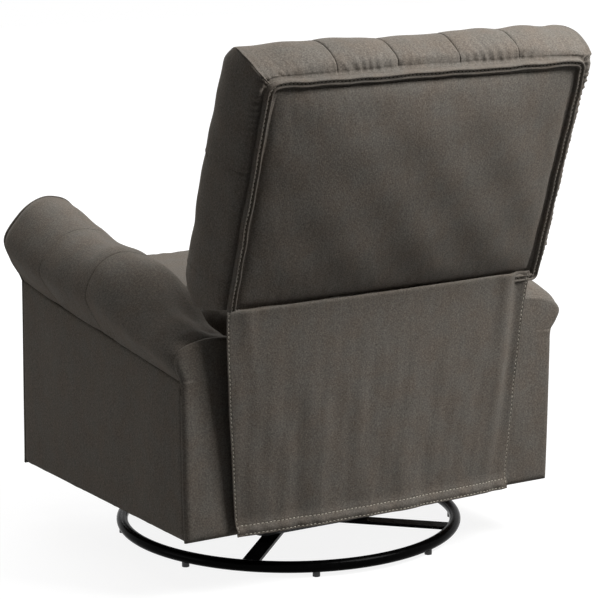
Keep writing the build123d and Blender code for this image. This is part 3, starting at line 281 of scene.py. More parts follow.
class Patchwork:
    """Grids of points that are welded into one mesh."""

    def __init__(self) -> None:
        """Starts with no grid."""
        self.points: list[np.ndarray] = []
        self.faces: list[tuple[int, ...]] = []
        self.count = 0

    def add(self, grid: np.ndarray, closed: bool = False) -> None:
        """Adds a grid of quads.

        Args:
            grid: rows by columns by 3, in millimetres.
            closed: whether its last column meets its first.
        """
        rows, columns = grid.shape[:2]
        numbers = self.count + np.arange(rows * columns).reshape(rows, columns)
        following = np.roll(numbers, -1, axis=1) if closed else numbers[:, 1:]
        current = numbers if closed else numbers[:, :-1]
        quads = np.stack([current[:-1], following[:-1], following[1:], current[1:]], axis=-1)
        self.faces += [tuple(quad) for quad in quads.reshape(-1, 4).tolist()]
        self.points.append(grid.reshape(-1, 3))
        self.count += rows * columns

    def fill(self, outline: np.ndarray) -> None:
        """Adds one flat face.

        Args:
            outline: its corners in order, in millimetres.
        """
        self.points.append(outline)
        self.faces.append(tuple(range(self.count, self.count + len(outline))))
        self.count += len(outline)

    def shell(self, face: np.ndarray, back: np.ndarray) -> None:
        """Adds two grids of the same size and the rim between them.

        Args:
            face: the grid that shows.
            back: the grid behind it.
        """
        self.add(face)
        self.add(back)
        for edge in (0, -1):
            self.add(np.stack([face[edge], back[edge]]))
            self.add(np.stack([face[:, edge], back[:, edge]]))

    def build(self, name: str, material: bpy.types.Material, weld: float = 0.02) -> bpy.types.Object:
        """Welds what was added and makes the object.

        Args:
            name: the object's name.
            material: its finish.
            weld: points nearer than this become one.

        Returns:
            The new object, smooth shaded, in the frame's metres.
        """
        places = np.vstack(self.points) * MM + chair_axis()
        mesh = bpy.data.meshes.new(name)
        mesh.from_pydata(places.tolist(), [], self.faces)
        work = bmesh.new()
        work.from_mesh(mesh)
        bmesh.ops.remove_doubles(work, verts=work.verts, dist=weld * MM)
        bmesh.ops.dissolve_degenerate(work, edges=work.edges, dist=weld * MM / 4)
        bmesh.ops.recalc_face_normals(work, faces=work.faces)
        work.to_mesh(mesh)
        work.free()
        mesh.shade_smooth()
        mesh.materials.append(material)
        piece = bpy.data.objects.new(name, mesh)
        bpy.context.scene.collection.objects.link(piece)
        return piece


# ---------------------------------------------------------------- materials
def linear(hex_colour: str) -> tuple[float, float, float, float]:
    """Turns an sRGB colour into the linear one that shaders take.

    Args:
        hex_colour: such as "#5b564e".

    Returns:
        Linear red, green, blue and an alpha of 1.
    """
    shares = [int(hex_colour[k:k + 2], 16) / 255 for k in (1, 3, 5)]
    red, green, blue = [s / 12.92 if s <= 0.04045 else ((s + 0.055) / 1.055) ** 2.4 for s in shares]
    return red, green, blue, 1.0


def add_node(
    tree: bpy.types.NodeTree,
    kind: str,
    settings: Optional[Mapping] = None,
    links: Optional[Mapping] = None,
) -> bpy.types.Node:
    """Adds one shader node.

    Args:
        tree: the material's node tree.
        kind: the node's type, without its ShaderNode prefix.
        settings: its properties and input values, by name or input number.
        links: output sockets by the name or number of the input that they feed.

    Returns:
        The new node.
    """
    node = tree.nodes.new("ShaderNode" + kind)
    for key, value in (settings or {}).items():
        if isinstance(key, str) and hasattr(node, key):
            setattr(node, key, value)
        else:
            node.inputs[key].default_value = value
    for key, socket in (links or {}).items():
        tree.links.new(socket, node.inputs[key])
    return node


def new_material(
    name: str, settings: Optional[Mapping] = None
) -> tuple[bpy.types.Material, bpy.types.NodeTree, bpy.types.Node]:
    """Starts a material with one Principled shader on its output.

    Args:
        name: what it is and how it was made.
        settings: the shader's input values, by name.

    Returns:
        The material, its node tree and the shader.
    """
    material = bpy.data.materials.new(name)
    material.use_nodes = True
    tree = material.node_tree
    tree.nodes.clear()
    shader = add_node(tree, "BsdfPrincipled", settings)
    add_node(tree, "OutputMaterial", links={"Surface": shader.outputs["BSDF"]})
    return material, tree, shader


@dataclass(frozen=True)
class WovenMelange:
    """Heathered polyester upholstery cloth, plain woven: matt, soft, with brown and grey yarns mixed."""

    name: str
    warp: str = "#736d66"
    weft: str = "#57514a"
    brown: str = "#5f544a"
    grey: str = "#5e5d59"
    melange: float = 0.3        # share of the mixed brown and grey in the yarns' own colours
    thread_mm: float = 1.3      # real threads are 0.5 mm, drawn coarser so that they show
    thread_run_mm: float = 5.0
    slub_mm: float = 4.0
    slub_run_mm: float = 60.0
    fleck_mm: float = 3.0
    patch_mm: float = 40.0
    bump_mm: float = 0.35
    roughness: float = 0.92
    ior: float = 1.5
    level: float = 0.1          # little mirrors off loose fibres, so the plain gloss is held back
    sheen: float = 0.18
    sheen_roughness: float = 0.45
    sheen_tint: str = "#b8b0a4"

    def weave_place(self, tree: bpy.types.NodeTree, coords: bpy.types.Node) -> bpy.types.NodeSocket:
        """Lays the weave along each face's own two directions, by the way that the face looks.

        Args:
            tree: the material's node tree.
            coords: its texture coordinates.

        Returns:
            The place across and along the yarns.
        """
        place = add_node(tree, "SeparateXYZ", links={0: coords.outputs["Object"]})
        facing = add_node(tree, "VectorMath", {"operation": "ABSOLUTE"}, {0: coords.outputs["Normal"]})
        side = add_node(tree, "SeparateXYZ", links={0: facing.outputs[0]})
        axes = {}
        for number, (axis, others) in enumerate((("X", "YZ"), ("Z", "XY"))):
            larger = add_node(tree, "Math", {"operation": "MAXIMUM"}, {
                0: side.outputs[others[0]], 1: side.outputs[others[1]]})
            faced = add_node(tree, "Math", {"operation": "GREATER_THAN"}, {
                0: side.outputs[axis], 1: larger.outputs[0]})
            axes[number] = add_node(tree, "Mix", links={
                0: faced.outputs[0], 2: place.outputs[axis], 3: place.outputs["Y"]}).outputs[0]
        return add_node(tree, "CombineXYZ", links=axes).outputs[0]

    def patterns(self, tree: bpy.types.NodeTree) -> dict[str, bpy.types.NodeSocket]:
        """The noises that the cloth is made of, all in real millimetres.

        Args:
            tree: the material's node tree.

        Returns:
            Warp, weft and slub along the yarns, fleck and patch through the whole cloth.
        """
        coords = add_node(tree, "TexCoord")
        woven = self.weave_place(tree, coords)
        found = {}
        for name, across, along, detail in (
            ("warp", self.thread_mm, self.thread_run_mm, 1.0),
            ("weft", self.thread_run_mm, self.thread_mm, 1.0),
            ("slub", self.slub_mm, self.slub_run_mm, 2.0),
        ):
            per_metre = (1 / (across * MM), 1 / (along * MM), 0.0)
            stretched = add_node(tree, "VectorMath", {"operation": "MULTIPLY", 1: per_metre}, {0: woven})
            found[name] = add_node(tree, "TexNoise", {
                "noise_dimensions": "2D", "Scale": 1.0, "Detail": detail,
            }, {"Vector": stretched.outputs[0]}).outputs["Fac"]
        for name, size, detail in (("fleck", self.fleck_mm, 2.0), ("patch", self.patch_mm, 3.0)):
            found[name] = add_node(tree, "TexNoise", {"Scale": 1 / (size * MM), "Detail": detail}, {
                "Vector": coords.outputs["Object"]}).outputs["Fac"]
        return found

    def material(self) -> bpy.types.Material:
        """Builds the cloth: two yarn colours woven, a melange over them, flecks and slubs, and relief.

        Returns:
            The new material.
        """
        material, tree, shader = new_material(self.name, {
            "Roughness": self.roughness, "IOR": self.ior, "Specular IOR Level": self.level,
            "Sheen Weight": self.sheen, "Sheen Roughness": self.sheen_roughness,
            "Sheen Tint": linear(self.sheen_tint),
        })
        noise = self.patterns(tree)
        noise["threads"] = add_node(tree, "Math", {"operation": "ADD"}, {
            0: noise["warp"], 1: noise["weft"]}).outputs[0]
        share = {}
        for name, low, high, least, most in (
            ("threads", 0.7, 1.3, 0.0, 1.0),
            ("slub", 0.3, 0.7, 0.95, 1.05),
            ("fleck", 0.3, 0.7, 0.8, 1.2),
            ("patch", 0.35, 0.65, 0.0, 1.0),
        ):
            share[name] = add_node(tree, "MapRange", {
                "From Min": low, "From Max": high, "To Min": least, "To Max": most,
            }, {"Value": noise[name]}).outputs[0]

        yarns = add_node(tree, "MixRGB", {"Color1": linear(self.weft), "Color2": linear(self.warp)}, {
            "Fac": share["threads"]})
        tone = add_node(tree, "MixRGB", {"Color1": linear(self.brown), "Color2": linear(self.grey)}, {
            "Fac": share["patch"]})
        mixed = add_node(tree, "MixRGB", {"Fac": self.melange}, {
            "Color1": yarns.outputs[0], "Color2": tone.outputs[0]})
        light = add_node(tree, "Math", {"operation": "MULTIPLY"}, {0: share["slub"], 1: share["fleck"]})
        colour = add_node(tree, "VectorMath", {"operation": "SCALE"}, {
            0: mixed.outputs[0], "Scale": light.outputs[0]})
        relief = add_node(tree, "Math", {"operation": "ADD"}, {0: noise["threads"], 1: noise["fleck"]})
        bump = add_node(tree, "Bump", {"Strength": 0.5, "Distance": self.bump_mm * MM}, {
            "Height": relief.outputs[0]})
        tree.links.new(colour.outputs[0], shader.inputs["Base Color"])
        tree.links.new(bump.outputs[0], shader.inputs["Normal"])
        return material


@dataclass(frozen=True)
class Hard:
    """A hard finish whose colour and gloss vary with grain, dust or brushing."""

    name: str
    base: str
    worn: str
    roughness: tuple[float, float]
    grain_mm: tuple[float, float, float]
    metallic: float = 0.0
    ior: Optional[float] = None  # metals keep the shader's own
    level: float = 0.5
    bump_mm: float = 0.02

    def material(self) -> bpy.types.Material:
        """Builds the finish, with one stretched noise behind its colour, gloss and relief.

        Returns:
            The new material.
        """
        settings = {"Metallic": self.metallic, "Specular IOR Level": self.level}
        if self.ior is not None:
            settings["IOR"] = self.ior
        material, tree, shader = new_material(self.name, settings)
        coords = add_node(tree, "TexCoord")
        per_metre = tuple(1 / (size * MM) for size in self.grain_mm)
        stretched = add_node(tree, "VectorMath", {"operation": "MULTIPLY", 1: per_metre}, {
            0: coords.outputs["Object"]})
        grain = add_node(tree, "TexNoise", {"Scale": 1.0, "Detail": 3.0, "Roughness": 0.6}, {
            "Vector": stretched.outputs[0]}).outputs["Fac"]
        share = add_node(tree, "MapRange", {"From Min": 0.35, "From Max": 0.65}, {"Value": grain}).outputs[0]
        colour = add_node(tree, "MixRGB", {"Color1": linear(self.base), "Color2": linear(self.worn)}, {
            "Fac": share})
        low, high = self.roughness
        gloss = add_node(tree, "MapRange", {"To Min": low, "To Max": high}, {"Value": share})
        bump = add_node(tree, "Bump", {"Strength": 0.4, "Distance": self.bump_mm * MM}, {"Height": grain})
        for name, node in (("Base Color", colour), ("Roughness", gloss), ("Normal", bump)):
            tree.links.new(node.outputs[0], shader.inputs[name])
        return material


class Finish(Enum):
    """Every finish on the chair, by what it is and how it was made."""

    # Warm grey from near, nearly plain from afar: short lighter and darker yarns, brown clouds a hand
    # wide, and a dull light edge where loose fibres catch the lamp at a low angle.
    UPHOLSTERY = WovenMelange("melange_polyester_plain_woven")
    # The same cloth in one layer, whose thicker slubs draw faint upright streaks on the hanging flap.
    FLAP_CLOTH = WovenMelange("melange_polyester_single_layer", slub_mm=5.0)
    # Light stitches that stand out from the cloth, each with a soft gleam where the twist turns.
    THREAD = Hard("bonded_polyester_thread_twisted", "#c2bcb0", "#98927f", (0.55, 0.7), (0.8, 0.8, 0.8),
                  ior=1.53)
    # Painted shade: dead black dots that stand for the shade inside the needle holes and part the stitches,
    # so that a row reads as sewn and not as drawn.
    HOLE = Hard("needle_hole_shade_painted_black", "#0d0b09", "#15120f", (0.9, 1.0), (1.0, 1.0, 1.0), ior=1.3)
    # Deep black with narrow bright lines along the tube. The white floor would grey it, so its level is low.
    ENAMEL = Hard("steel_tube_black_enamel_baked", "#030303", "#060606", (0.16, 0.24), (9.0, 9.0, 9.0),
                  ior=1.45, level=0.02)
    # Satin black with broad soft highlights and slightly greyer patches, as dipped sheet has.
    BLACK_STEEL = Hard("stamped_steel_black_electrocoated", "#0c0c0d", "#161617", (0.38, 0.5),
                       (14.0, 14.0, 14.0), ior=1.5)
    # Cool bright metal whose fine turning marks stretch the highlights round the pins.
    ZINC = Hard("steel_zinc_plated_turned", "#b4b5b8", "#8f9094", (0.28, 0.42), (3.0, 0.4, 0.4), metallic=1.0)
    # Dull black with a fine even grain, darker than the enamel's gleam, on the feet and the slide ring.
    PLASTIC = Hard("polypropylene_moulded_black", "#101010", "#1a1a1a", (0.45, 0.6), (1.2, 1.2, 1.2),
                   ior=1.49)
    # Warm brown with long streaks of grain and a rough, unvarnished face.
    WOOD = Hard("softwood_and_plywood_sawn", "#b08a5c", "#8d6a42", (0.65, 0.8), (2.5, 60.0, 2.5), ior=1.5,
                bump_mm=0.2)
    # Flat charcoal with a coarse relief, so that the straps under the seat look woven and not cast.
    WEBBING = Hard("elastic_webbing_woven_black", "#18181a", "#262629", (0.8, 0.9), (1.5, 1.5, 1.5), ior=1.5,
                   bump_mm=0.3)


@dataclass(frozen=True)
class Crossing:
    """The body and heights at which a cloth would go over from one moving body to the next. Nothing reads
    them: a piece that is given one is put on no body.
    """

    body: str
    start_z: float
    end_z: float


def upholster(
    piece: bpy.types.Object, body: str, nodes: Sequence[str], crossing: Optional[Crossing] = None
) -> bpy.types.Object:
    """Puts a cloth piece on its body, in the place of its plain solids; a piece with a crossing stays on no
    body, baked where it stands.

    Args:
        piece: the dressed piece.
        body: the moving body that carries it.
        nodes: the solids that it stands for.
        crossing: the body meant to carry its upper edge, if that is another one; when given, the piece is put
            on no body.

    Returns:
        The same piece.
    """
    if crossing is None:
        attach(piece, body)
    else:
        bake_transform(piece)
    if nodes:
        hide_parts(*nodes)
    LOG.info("%s rides on %s: %d faces", piece.name, body, len(piece.data.polygons))
    return piece


class Wardrobe:
    """Makes each finish once and hands it out."""

    def __init__(self) -> None:
        """Starts empty."""
        self.made: dict[Finish, bpy.types.Material] = {}

    def get(self, finish: Finish) -> bpy.types.Material:
        """The finish's material, made at its first use."""
        if finish not in self.made:
            self.made[finish] = finish.value.material()
        return self.made[finish]

    def cover(self, patchwork: Patchwork, name: str, body: str, node: str, slot: str = "upholstery") -> None:
        """Makes an upholstered piece of patched grids.

        Args:
            patchwork: its grids.
            name: its name.
            body: the moving body that carries it.
            node: the solid that it stands for.
            slot: the record's material slot; not used.
        """
        upholster(patchwork.build(name, self.get(Finish.UPHOLSTERY)), body, [node])


# ---------------------------------------------------------------- stitches
@dataclass
class StitchRow:
    """A row of topstitches: lengths of thread that dip into the cloth, and black beads between them that
    paint the shade of the needle holes.
    """

    wardrobe: Wardrobe
    pitch: float = 8.0
    length: float = 5.4
    radius: float = 0.72
    hole_radius: float = 0.62
    hole_share: float = 0.8     # of the gap between two stitches
    thread_sunk: float = 0.75   # shares of the radius by which thread and hole lie in the cloth
    hole_sunk: float = 1.45
    sides: int = 8

    def beads(self, path: np.ndarray, normals: np.ndarray, start: float, length: float, radius: float,
              sunk: float) -> Patchwork:
        """Short rounded lengths, one at every pitch along a path.

        Args:
            path: places on the cloth's face, close together.
            normals: the face's normal at each place.
            start: where the first one begins.
            length: how long each one is.
            radius: half their thickness.
            sunk: the share of the radius by which they lie in the cloth.

        Returns:
            Their grids, ready to build.
        """
        lengths = lengths_along(path)
        swell = np.sin(np.linspace(0.12, np.pi - 0.12, 7)) ** 0.6
        round_once = directions(np.linspace(0.0, 360.0, self.sides, endpoint=False))
        patchwork = Patchwork()
        for number in range(int((lengths[-1] - start - length) // self.pitch) + 1):
            wanted = start + number * self.pitch + np.linspace(0.0, length, len(swell))
            spine = read_along(wanted, lengths, path)
            up = unit(read_along(wanted, lengths, normals))
            aside = np.cross(up, unit(np.gradient(spine, axis=0)))
            lift = (radius * (swell * 1.2 - sunk))[:, None, None] * up[:, None, :]
            circle = np.einsum("kc,cnd->nkd", round_once, np.stack([aside, up]))
            ring = spine[:, None, :] + lift + (radius * swell)[:, None, None] * circle
            patchwork.add(ring, closed=True)
            patchwork.fill(ring[0])
            patchwork.fill(ring[-1])
        return patchwork

    def sew(self, name: str, path: np.ndarray, normals: np.ndarray, body: str, slot: str,
            crossing: Optional[Crossing] = None) -> list[bpy.types.Object]:
        """Lays a row of stitches along a path on the cloth.

        Args:
            name: the row's name.
            path: places on the cloth's face, close together.
            normals: the face's normal at each place.
            body: the moving body that carries the cloth.
            slot: the cloth's material slot; not used.
            crossing: the body meant to carry the row's upper end, if that is another one; when given, the row
                is put on no body.

        Returns:
            The thread and the black beads of painted hole shade.
        """
        gap = self.pitch - self.length
        thread = self.beads(path, normals, gap, self.length, self.radius, self.thread_sunk)
        # Black beads sunk between the stitches: painted shade of the needle holes.
        hole = self.hole_share * gap
        painted_hole_shades = self.beads(path, normals, (gap - hole) / 2, hole, self.hole_radius, self.hole_sunk)
        return [
            upholster(thread.build(name, self.wardrobe.get(Finish.THREAD)), body, [], crossing),
            upholster(painted_hole_shades.build(f"{name}_holes", self.wardrobe.get(Finish.HOLE)), body, [], crossing),
        ]


# ---------------------------------------------------------------- base and mechanism
@dataclass
class RingBase:
    """The floor ring, the swivel bearing and the hanging glide links, all of painted or plated steel."""

    wardrobe: Wardrobe

    def dress(self, frame: dict) -> None:
        """Gives every hard piece of the frame its finish.
        """
        by_slot = {
            "black_paint": Finish.ENAMEL,
            "dark_steel": Finish.BLACK_STEEL,
            "bright_steel": Finish.ZINC,
            "glide_plastic": Finish.PLASTIC,
            "wood": Finish.WOOD,
            "webbing": Finish.WEBBING,
            "upholstery": Finish.UPHOLSTERY,
            "flap_cloth": Finish.FLAP_CLOTH,
            "welt": Finish.UPHOLSTERY,
        }
        wrapped_in_cloth = ("seat_front_board", "seat_front_rail", "footrest_board")
        for part in frame["record"]["subparts"]:
            node = frame["nodes"][part["node"]]
            wrapped = part["node"] in wrapped_in_cloth
            finish = self.wardrobe.get(Finish.UPHOLSTERY if wrapped else by_slot[part["material_slot"]])
            for slot in node.material_slots:
                slot.material = finish
        LOG.info("finishes set on %d frame nodes", len(frame["nodes"]))


# ---------------------------------------------------------------- arms
@dataclass
class RolledArm:
    """One padded arm: a rolled top in three lengths, outer and inner panels, front and rear facings."""

    wardrobe: Wardrobe
    side: str
    front_y: float = -375.0
    rear_y: float = 303.0
    inner_x: float = 272.0
    outer_x: float = 402.0
    foot_x: float = 397.0
    padding: float = 12.0
    front_stuffing: float = 22.0
    front_round: float = 26.0
    rear_stuffing: float = 9.0
    rear_round: float = 13.0
    bottom_front_z: float = 99.0
    bottom_rear_z: float = 106.0
    inner_bottom_z: float = 210.0
    seam_front_z: float = 470.0
    seam_rear_z: float = 398.0
    top_front_z: float = 636.0
    top_rear_z: float = 471.0
    overhang_front: float = 36.0
    overhang_rear: float = 11.0
    fullness: float = 32.0      # how much higher the roll stands where it is fullest
    fullest_y: float = 25.0
    fullness_length: float = 105.0
    front_pinch: float = 8.0
    pinch_length: float = 190.0
    pressed: float = 14.0       # how far the back's corner has pressed down the roll beside it
    cross_seams: tuple[float, float] = (-187.0, -9.0)
    seam_depth: float = 2.5
    seam_width: float = 5.0
    # The roll's cut, place by place: shares of the overhang outwards, of the width inwards and of the rise.
    cut: tuple[tuple[float, float, float], ...] = (
        (0.0, 0.0, 0.0), (0.16, 0.0, 0.08), (0.66, 0.0, 0.27), (1.0, 0.0, 0.54), (0.10, 0.0, 0.81),
        (0.0, 0.24, 0.955), (0.0, 0.52, 1.0), (0.0, 0.84, 0.92), (0.0, 1.0, 0.68), (0.0, 1.0, 0.0),
    )
    cross_depth: float = 2.4
    pull_depth: float = 3.6     # folds that slant where a cross seam pulls at the roll's lower edge
    pull_slant: float = 190.0
    pull_pitch: float = 13.0
    swell: float = 8.0          # of the roll's outer half, which stands out over the panel
    edge_drop: float = 7.0      # how far the outer panel is turned in at its foot
    # Where the roll's seam ends at the rear: how far over it each pucker lies, and its length.
    puckers: tuple[tuple[float, float], ...] = ((3.0, 26.0), (-6.0, 34.0), (-15.0, 20.0))

    def __post_init__(self) -> None:
        """Works out where the facings are sewn on."""
        self.first_y = self.front_y + self.front_stuffing
        self.last_y = self.rear_y - self.rear_stuffing

    def share(self, y: np.ndarray) -> np.ndarray:
        """How far along the arm y lies, from 0 at the front to 1 at the rear."""
        return (y - self.front_y) / (self.rear_y - self.front_y)

    def between(self, front: float, rear: float, y: np.ndarray) -> np.ndarray:
        """A size that changes evenly from the front face to the rear face."""
        return front + (rear - front) * self.share(y)

    def roll_outline(self, y: float, shares: np.ndarray) -> np.ndarray:
        """The rolled top at this y.

        Args:
            y: the cut's place along the arm.
            shares: from the outer seam at 0 over the top to the inner face at 1.

        Returns:
            An x and a z for each share.
        """
        low = self.between(self.seam_front_z, self.seam_rear_z, y)
        fullest = self.fullness * bell(y - self.fullest_y, self.fullness_length)
        rise = self.between(self.top_front_z, self.top_rear_z, y) + fullest - low
        out = self.between(self.overhang_front, self.overhang_rear, y)
        outer = self.outer(y)
        width = outer - self.inner_x
        outwards, inwards, up = np.array(self.cut).T
        points = np.stack([outer + outwards * out - inwards * width, low + up * rise], axis=-1)
        return curve_through(points, shares)

    def outer(self, y: np.ndarray) -> np.ndarray:
        """The roll's outer seam, which comes in a little at the front."""
        pinched = 1.0 - smoothstep(self.front_y, self.front_y + self.pinch_length, y)
        return self.outer_x - self.front_pinch * pinched

    def leg_x(self, y: np.ndarray, share: np.ndarray) -> np.ndarray:
        """The outer face below the roll, which bulges from the foot at 0 to the seam at 1."""
        return self.foot_x + (self.outer(y) - self.foot_x) * share**0.6

    def mirrored(self, grid: np.ndarray) -> np.ndarray:
        """The grid on this arm's side of the chair."""
        return grid * np.array([1.0 if self.side == "left" else -1.0, 1.0, 1.0])

    def roll_relief(self, grid: np.ndarray, s: np.ndarray) -> np.ndarray:
        """Cross seams, gathers and stuffing of the roll.

        Args:
            grid: the smooth roll.
            s: the share of the outline at each place, from the outer seam at 0.

        Returns:
            Heights over the smooth roll.
        """
        y = grid[..., 1]
        rear = self.last_y - y
        ends = np.minimum(y - self.first_y, rear)
        girth = 330.0
        height = 1.6 * ripple(grid, 110.0, 3) * smoothstep(0.0, 0.15, s)
        beside_back = smoothstep(110.0, 215.0, y) * (1.0 - 0.8 * smoothstep(-45.0, -5.0, -rear))
        height -= self.pressed * beside_back * smoothstep(0.40, 0.62, s)
        for seam in self.cross_seams:
            height += crease(y - seam, self.cross_depth, 0.9) * smoothstep(-0.02, 0.06, s)
            height -= 2.2 * bell(y - seam, 30.0)
            lean = y - seam - 44.0 - self.pull_slant * s
            pull = bell(s, 0.11) * bell(lean, 22.0)
            height -= self.pull_depth * pull * (1.0 - np.abs(np.sin(np.pi * lean / self.pull_pitch)) ** 0.7)
        height += crease(s * girth, self.seam_depth, self.seam_width)
        outer_half = smoothstep(0.03, 0.2, s) * (1.0 - smoothstep(0.4, 0.6, s))
        height += self.swell * outer_half * smoothstep(-4.0, 26.0, ends)
        height += crease(ends, 3.0, 2.0)
        gathered = np.exp(-rear / 34.0) * np.exp(-s / 0.10)
        height += 1.3 * np.sin(2 * np.pi * (y / 9.0 + s * 16.0)) * gathered
        return height

    def roll(self) -> None:
        """The stuffed roll, with two thin seams across it and gathers where it meets the outer panel."""
        ys = spread(self.first_y, self.last_y, 4.0, self.cross_seams)
        shares = np.linspace(0.0, 1.0, 130)
        grid = np.zeros((len(ys), len(shares), 3))
        for row, y in enumerate(ys):
            outline = self.roll_outline(y, shares)
            grid[row] = np.stack([outline[:, 0], np.full(len(shares), y), outline[:, 1]], axis=-1)
        height = self.roll_relief(grid, np.broadcast_to(shares, grid.shape[:2]))
        grid = self.mirrored(grid + grid_normals(grid) * height[..., None])
        patchwork = Patchwork()
        patchwork.add(grid)
        patchwork.add(grid[:, [-1, 0]])
        patchwork.fill(grid[0])
        patchwork.fill(grid[-1])
        self.wardrobe.cover(patchwork, f"arm_roll_cover_{self.side}", "chair", f"arm_roll_{self.side}")

    def panel_grid(self, step: float, rows: int, low: float, low_rear: float) -> tuple[np.ndarray, ...]:
        """Places on a side panel, from its lower edge up to the roll's seam.

        Args:
            step: the distance between its columns.
            rows: how many rows.
            low: z of its lower edge at the front.
            low_rear: z of its lower edge at the rear.

        Returns:
            y, z, the share from the lower edge up, and the distances to the ends, the foot and the seam.
        """
        ys = spread(self.first_y, self.last_y, step)
        y, share = np.meshgrid(ys, np.linspace(0.0, 1.0, rows), indexing="ij")
        foot = self.between(low, low_rear, y)
        seam = self.between(self.seam_front_z, self.seam_rear_z, y)
        z = foot + (seam - foot) * share
        return y, z, share, np.minimum(y - ys[0], ys[-1] - y), z - foot, seam - z

    def outer_panel(self) -> None:
        """The tall outer panel, drawn over its frame, with soft waves and its edges turned in."""
        y, z, share, ends, above, below = self.panel_grid(9.0, 60, self.bottom_front_z, self.bottom_rear_z)
        grid = np.stack([self.leg_x(y, share), y, z], axis=-1)
        edge = np.minimum(ends, np.minimum(above, below))
        height = 2.0 * ripple(grid * np.array([1.0, 1.0, 0.6]), 170.0, 11) * smoothstep(0.0, 60.0, edge)
        height += 2.0 * np.sin(np.pi * share) * smoothstep(0.0, 60.0, ends)
        height += crease(ends, 1.2, 2.2) + crease(below, self.seam_depth, self.seam_width)
        height -= self.edge_drop * round_off(above, 13.0)
        height += 1.0 * ripple(grid, 45.0, 13) * np.exp(-above / 16.0)
        grid[..., 0] += height
        inside = grid.copy()
        inside[..., 0] = self.outer_x - self.padding
        self.sheet_piece("arm_outer_cover", "arm_outer_panel", grid, inside)

    def inner_panel(self) -> None:
        """The inner panel beside the seat cushion."""
        y, z, _, ends, above, below = self.panel_grid(12.0, 40, self.inner_bottom_z, self.inner_bottom_z)
        grid = np.stack([np.full_like(y, self.inner_x), y, z], axis=-1)
        edge = np.minimum(ends, np.minimum(above, below + 8.0))
        grid[..., 0] += 3.0 * np.exp(-edge / 4.0)
        grid[..., 0] += 0.8 * (1.0 + ripple(grid, 120.0, 17)) * smoothstep(0.0, 40.0, edge)
        outside = grid.copy()
        outside[..., 0] = self.inner_x + self.padding
        self.sheet_piece("arm_inner_cover", "arm_inner_panel", grid, outside)

    def sheet_piece(self, name: str, node: str, face: np.ndarray, back: np.ndarray) -> None:
        """A padded panel between two grids of the same size.

        Args:
            name: the piece's name, without its side.
            node: the solid that it stands for, without its side.
            face: the grid that shows.
            back: the grid that lies on the frame.
        """
        patchwork = Patchwork()
        patchwork.shell(self.mirrored(face), self.mirrored(back))
        self.wardrobe.cover(patchwork, f"{name}_{self.side}", "chair", f"{node}_{self.side}")

    def facing_edges(self, y: float, low: float, seam: float) -> tuple[np.ndarray, np.ndarray]:
        """A facing's outer edge, up the leg and over the roll, and the inner edge across from it.

        Args:
            y: where the facing is sewn on.
            low: z of its foot.
            seam: z where the roll begins.

        Returns:
            Both edges as (x, z), place for place.
        """
        over = self.roll_outline(y, np.linspace(0.0, 1.0, 110))
        over = over[: int(np.argmax(over[:, 0] <= self.inner_x + 0.5)) + 1]
        up_leg = np.linspace(low, seam, 70, endpoint=False)
        leg = np.stack([self.leg_x(y, (up_leg - low) / (seam - low)), up_leg], axis=-1)
        outer = np.vstack([leg, over])
        run = lengths_along(outer)
        inner_z = np.interp(run, [0.0, run[len(leg)], run[-1]], [low, seam, outer[-1, 1]])
        return outer, np.stack([np.full(len(run), self.inner_x), inner_z], axis=-1)

    def facing(self, at_rear: bool) -> None:
        """The stuffed facing that closes the arm's front or rear, from its foot up over the roll.

        Args:
            at_rear: the rear facing, or else the front one.
        """
        y = self.last_y if at_rear else self.first_y
        stuffing = self.rear_stuffing if at_rear else self.front_stuffing
        rounding = self.rear_round if at_rear else self.front_round
        low = float(self.between(self.bottom_front_z, self.bottom_rear_z, y))
        seam = float(self.between(self.seam_front_z, self.seam_rear_z, y))
        outer, inner = self.facing_edges(y, low, seam)
        across = np.linspace(0.0, 1.0, 56) ** 1.3
        flat = outer[:, None, :] + (inner - outer)[:, None, :] * across[None, :, None]
        x, z = flat[..., 0], flat[..., 1]
        from_outer = np.linalg.norm(flat - outer[:, None, :], axis=-1)
        edge = np.minimum(np.minimum(from_outer, x - self.inner_x), z - low + 0.08 * rounding)
        depth = stuffing * (1.0 - round_off(edge, rounding))
        depth += 1.2 * ripple(flat * np.array([1.0, 0.6]), 90.0, 23) * smoothstep(0.0, 35.0, edge)
        if at_rear:
            # Short puckers and a bead where the roll's seam ends.
            below, from_side = z - seam, self.outer_x - x
            for offset, length in self.puckers:
                depth += crease(below - offset - 0.05 * from_side, 1.5, 1.6) * bell(from_side - 6.0, length)
            depth += 1.5 * bell(below + 1.0, 5.0) * bell(from_side, 30.0)
        else:
            # The leg is stuffed less than the roll over it.
            leg = smoothstep(200.0, seam, z) * (1.0 - smoothstep(seam, seam + 60.0, z))
            depth -= 7.0 * leg * (depth / stuffing)
        grid = np.stack([x, y + (depth if at_rear else -depth), z], axis=-1)
        flat_back = np.stack([x, np.full_like(x, y), z], axis=-1)
        end = "rear" if at_rear else "front"
        self.sheet_piece(f"arm_{end}_cover", f"arm_{end}", grid, flat_back)

    def build(self) -> None:
        """Makes every piece of this arm."""
        self.roll()
        self.outer_panel()
        self.inner_panel()
        self.facing(at_rear=False)
        self.facing(at_rear=True)


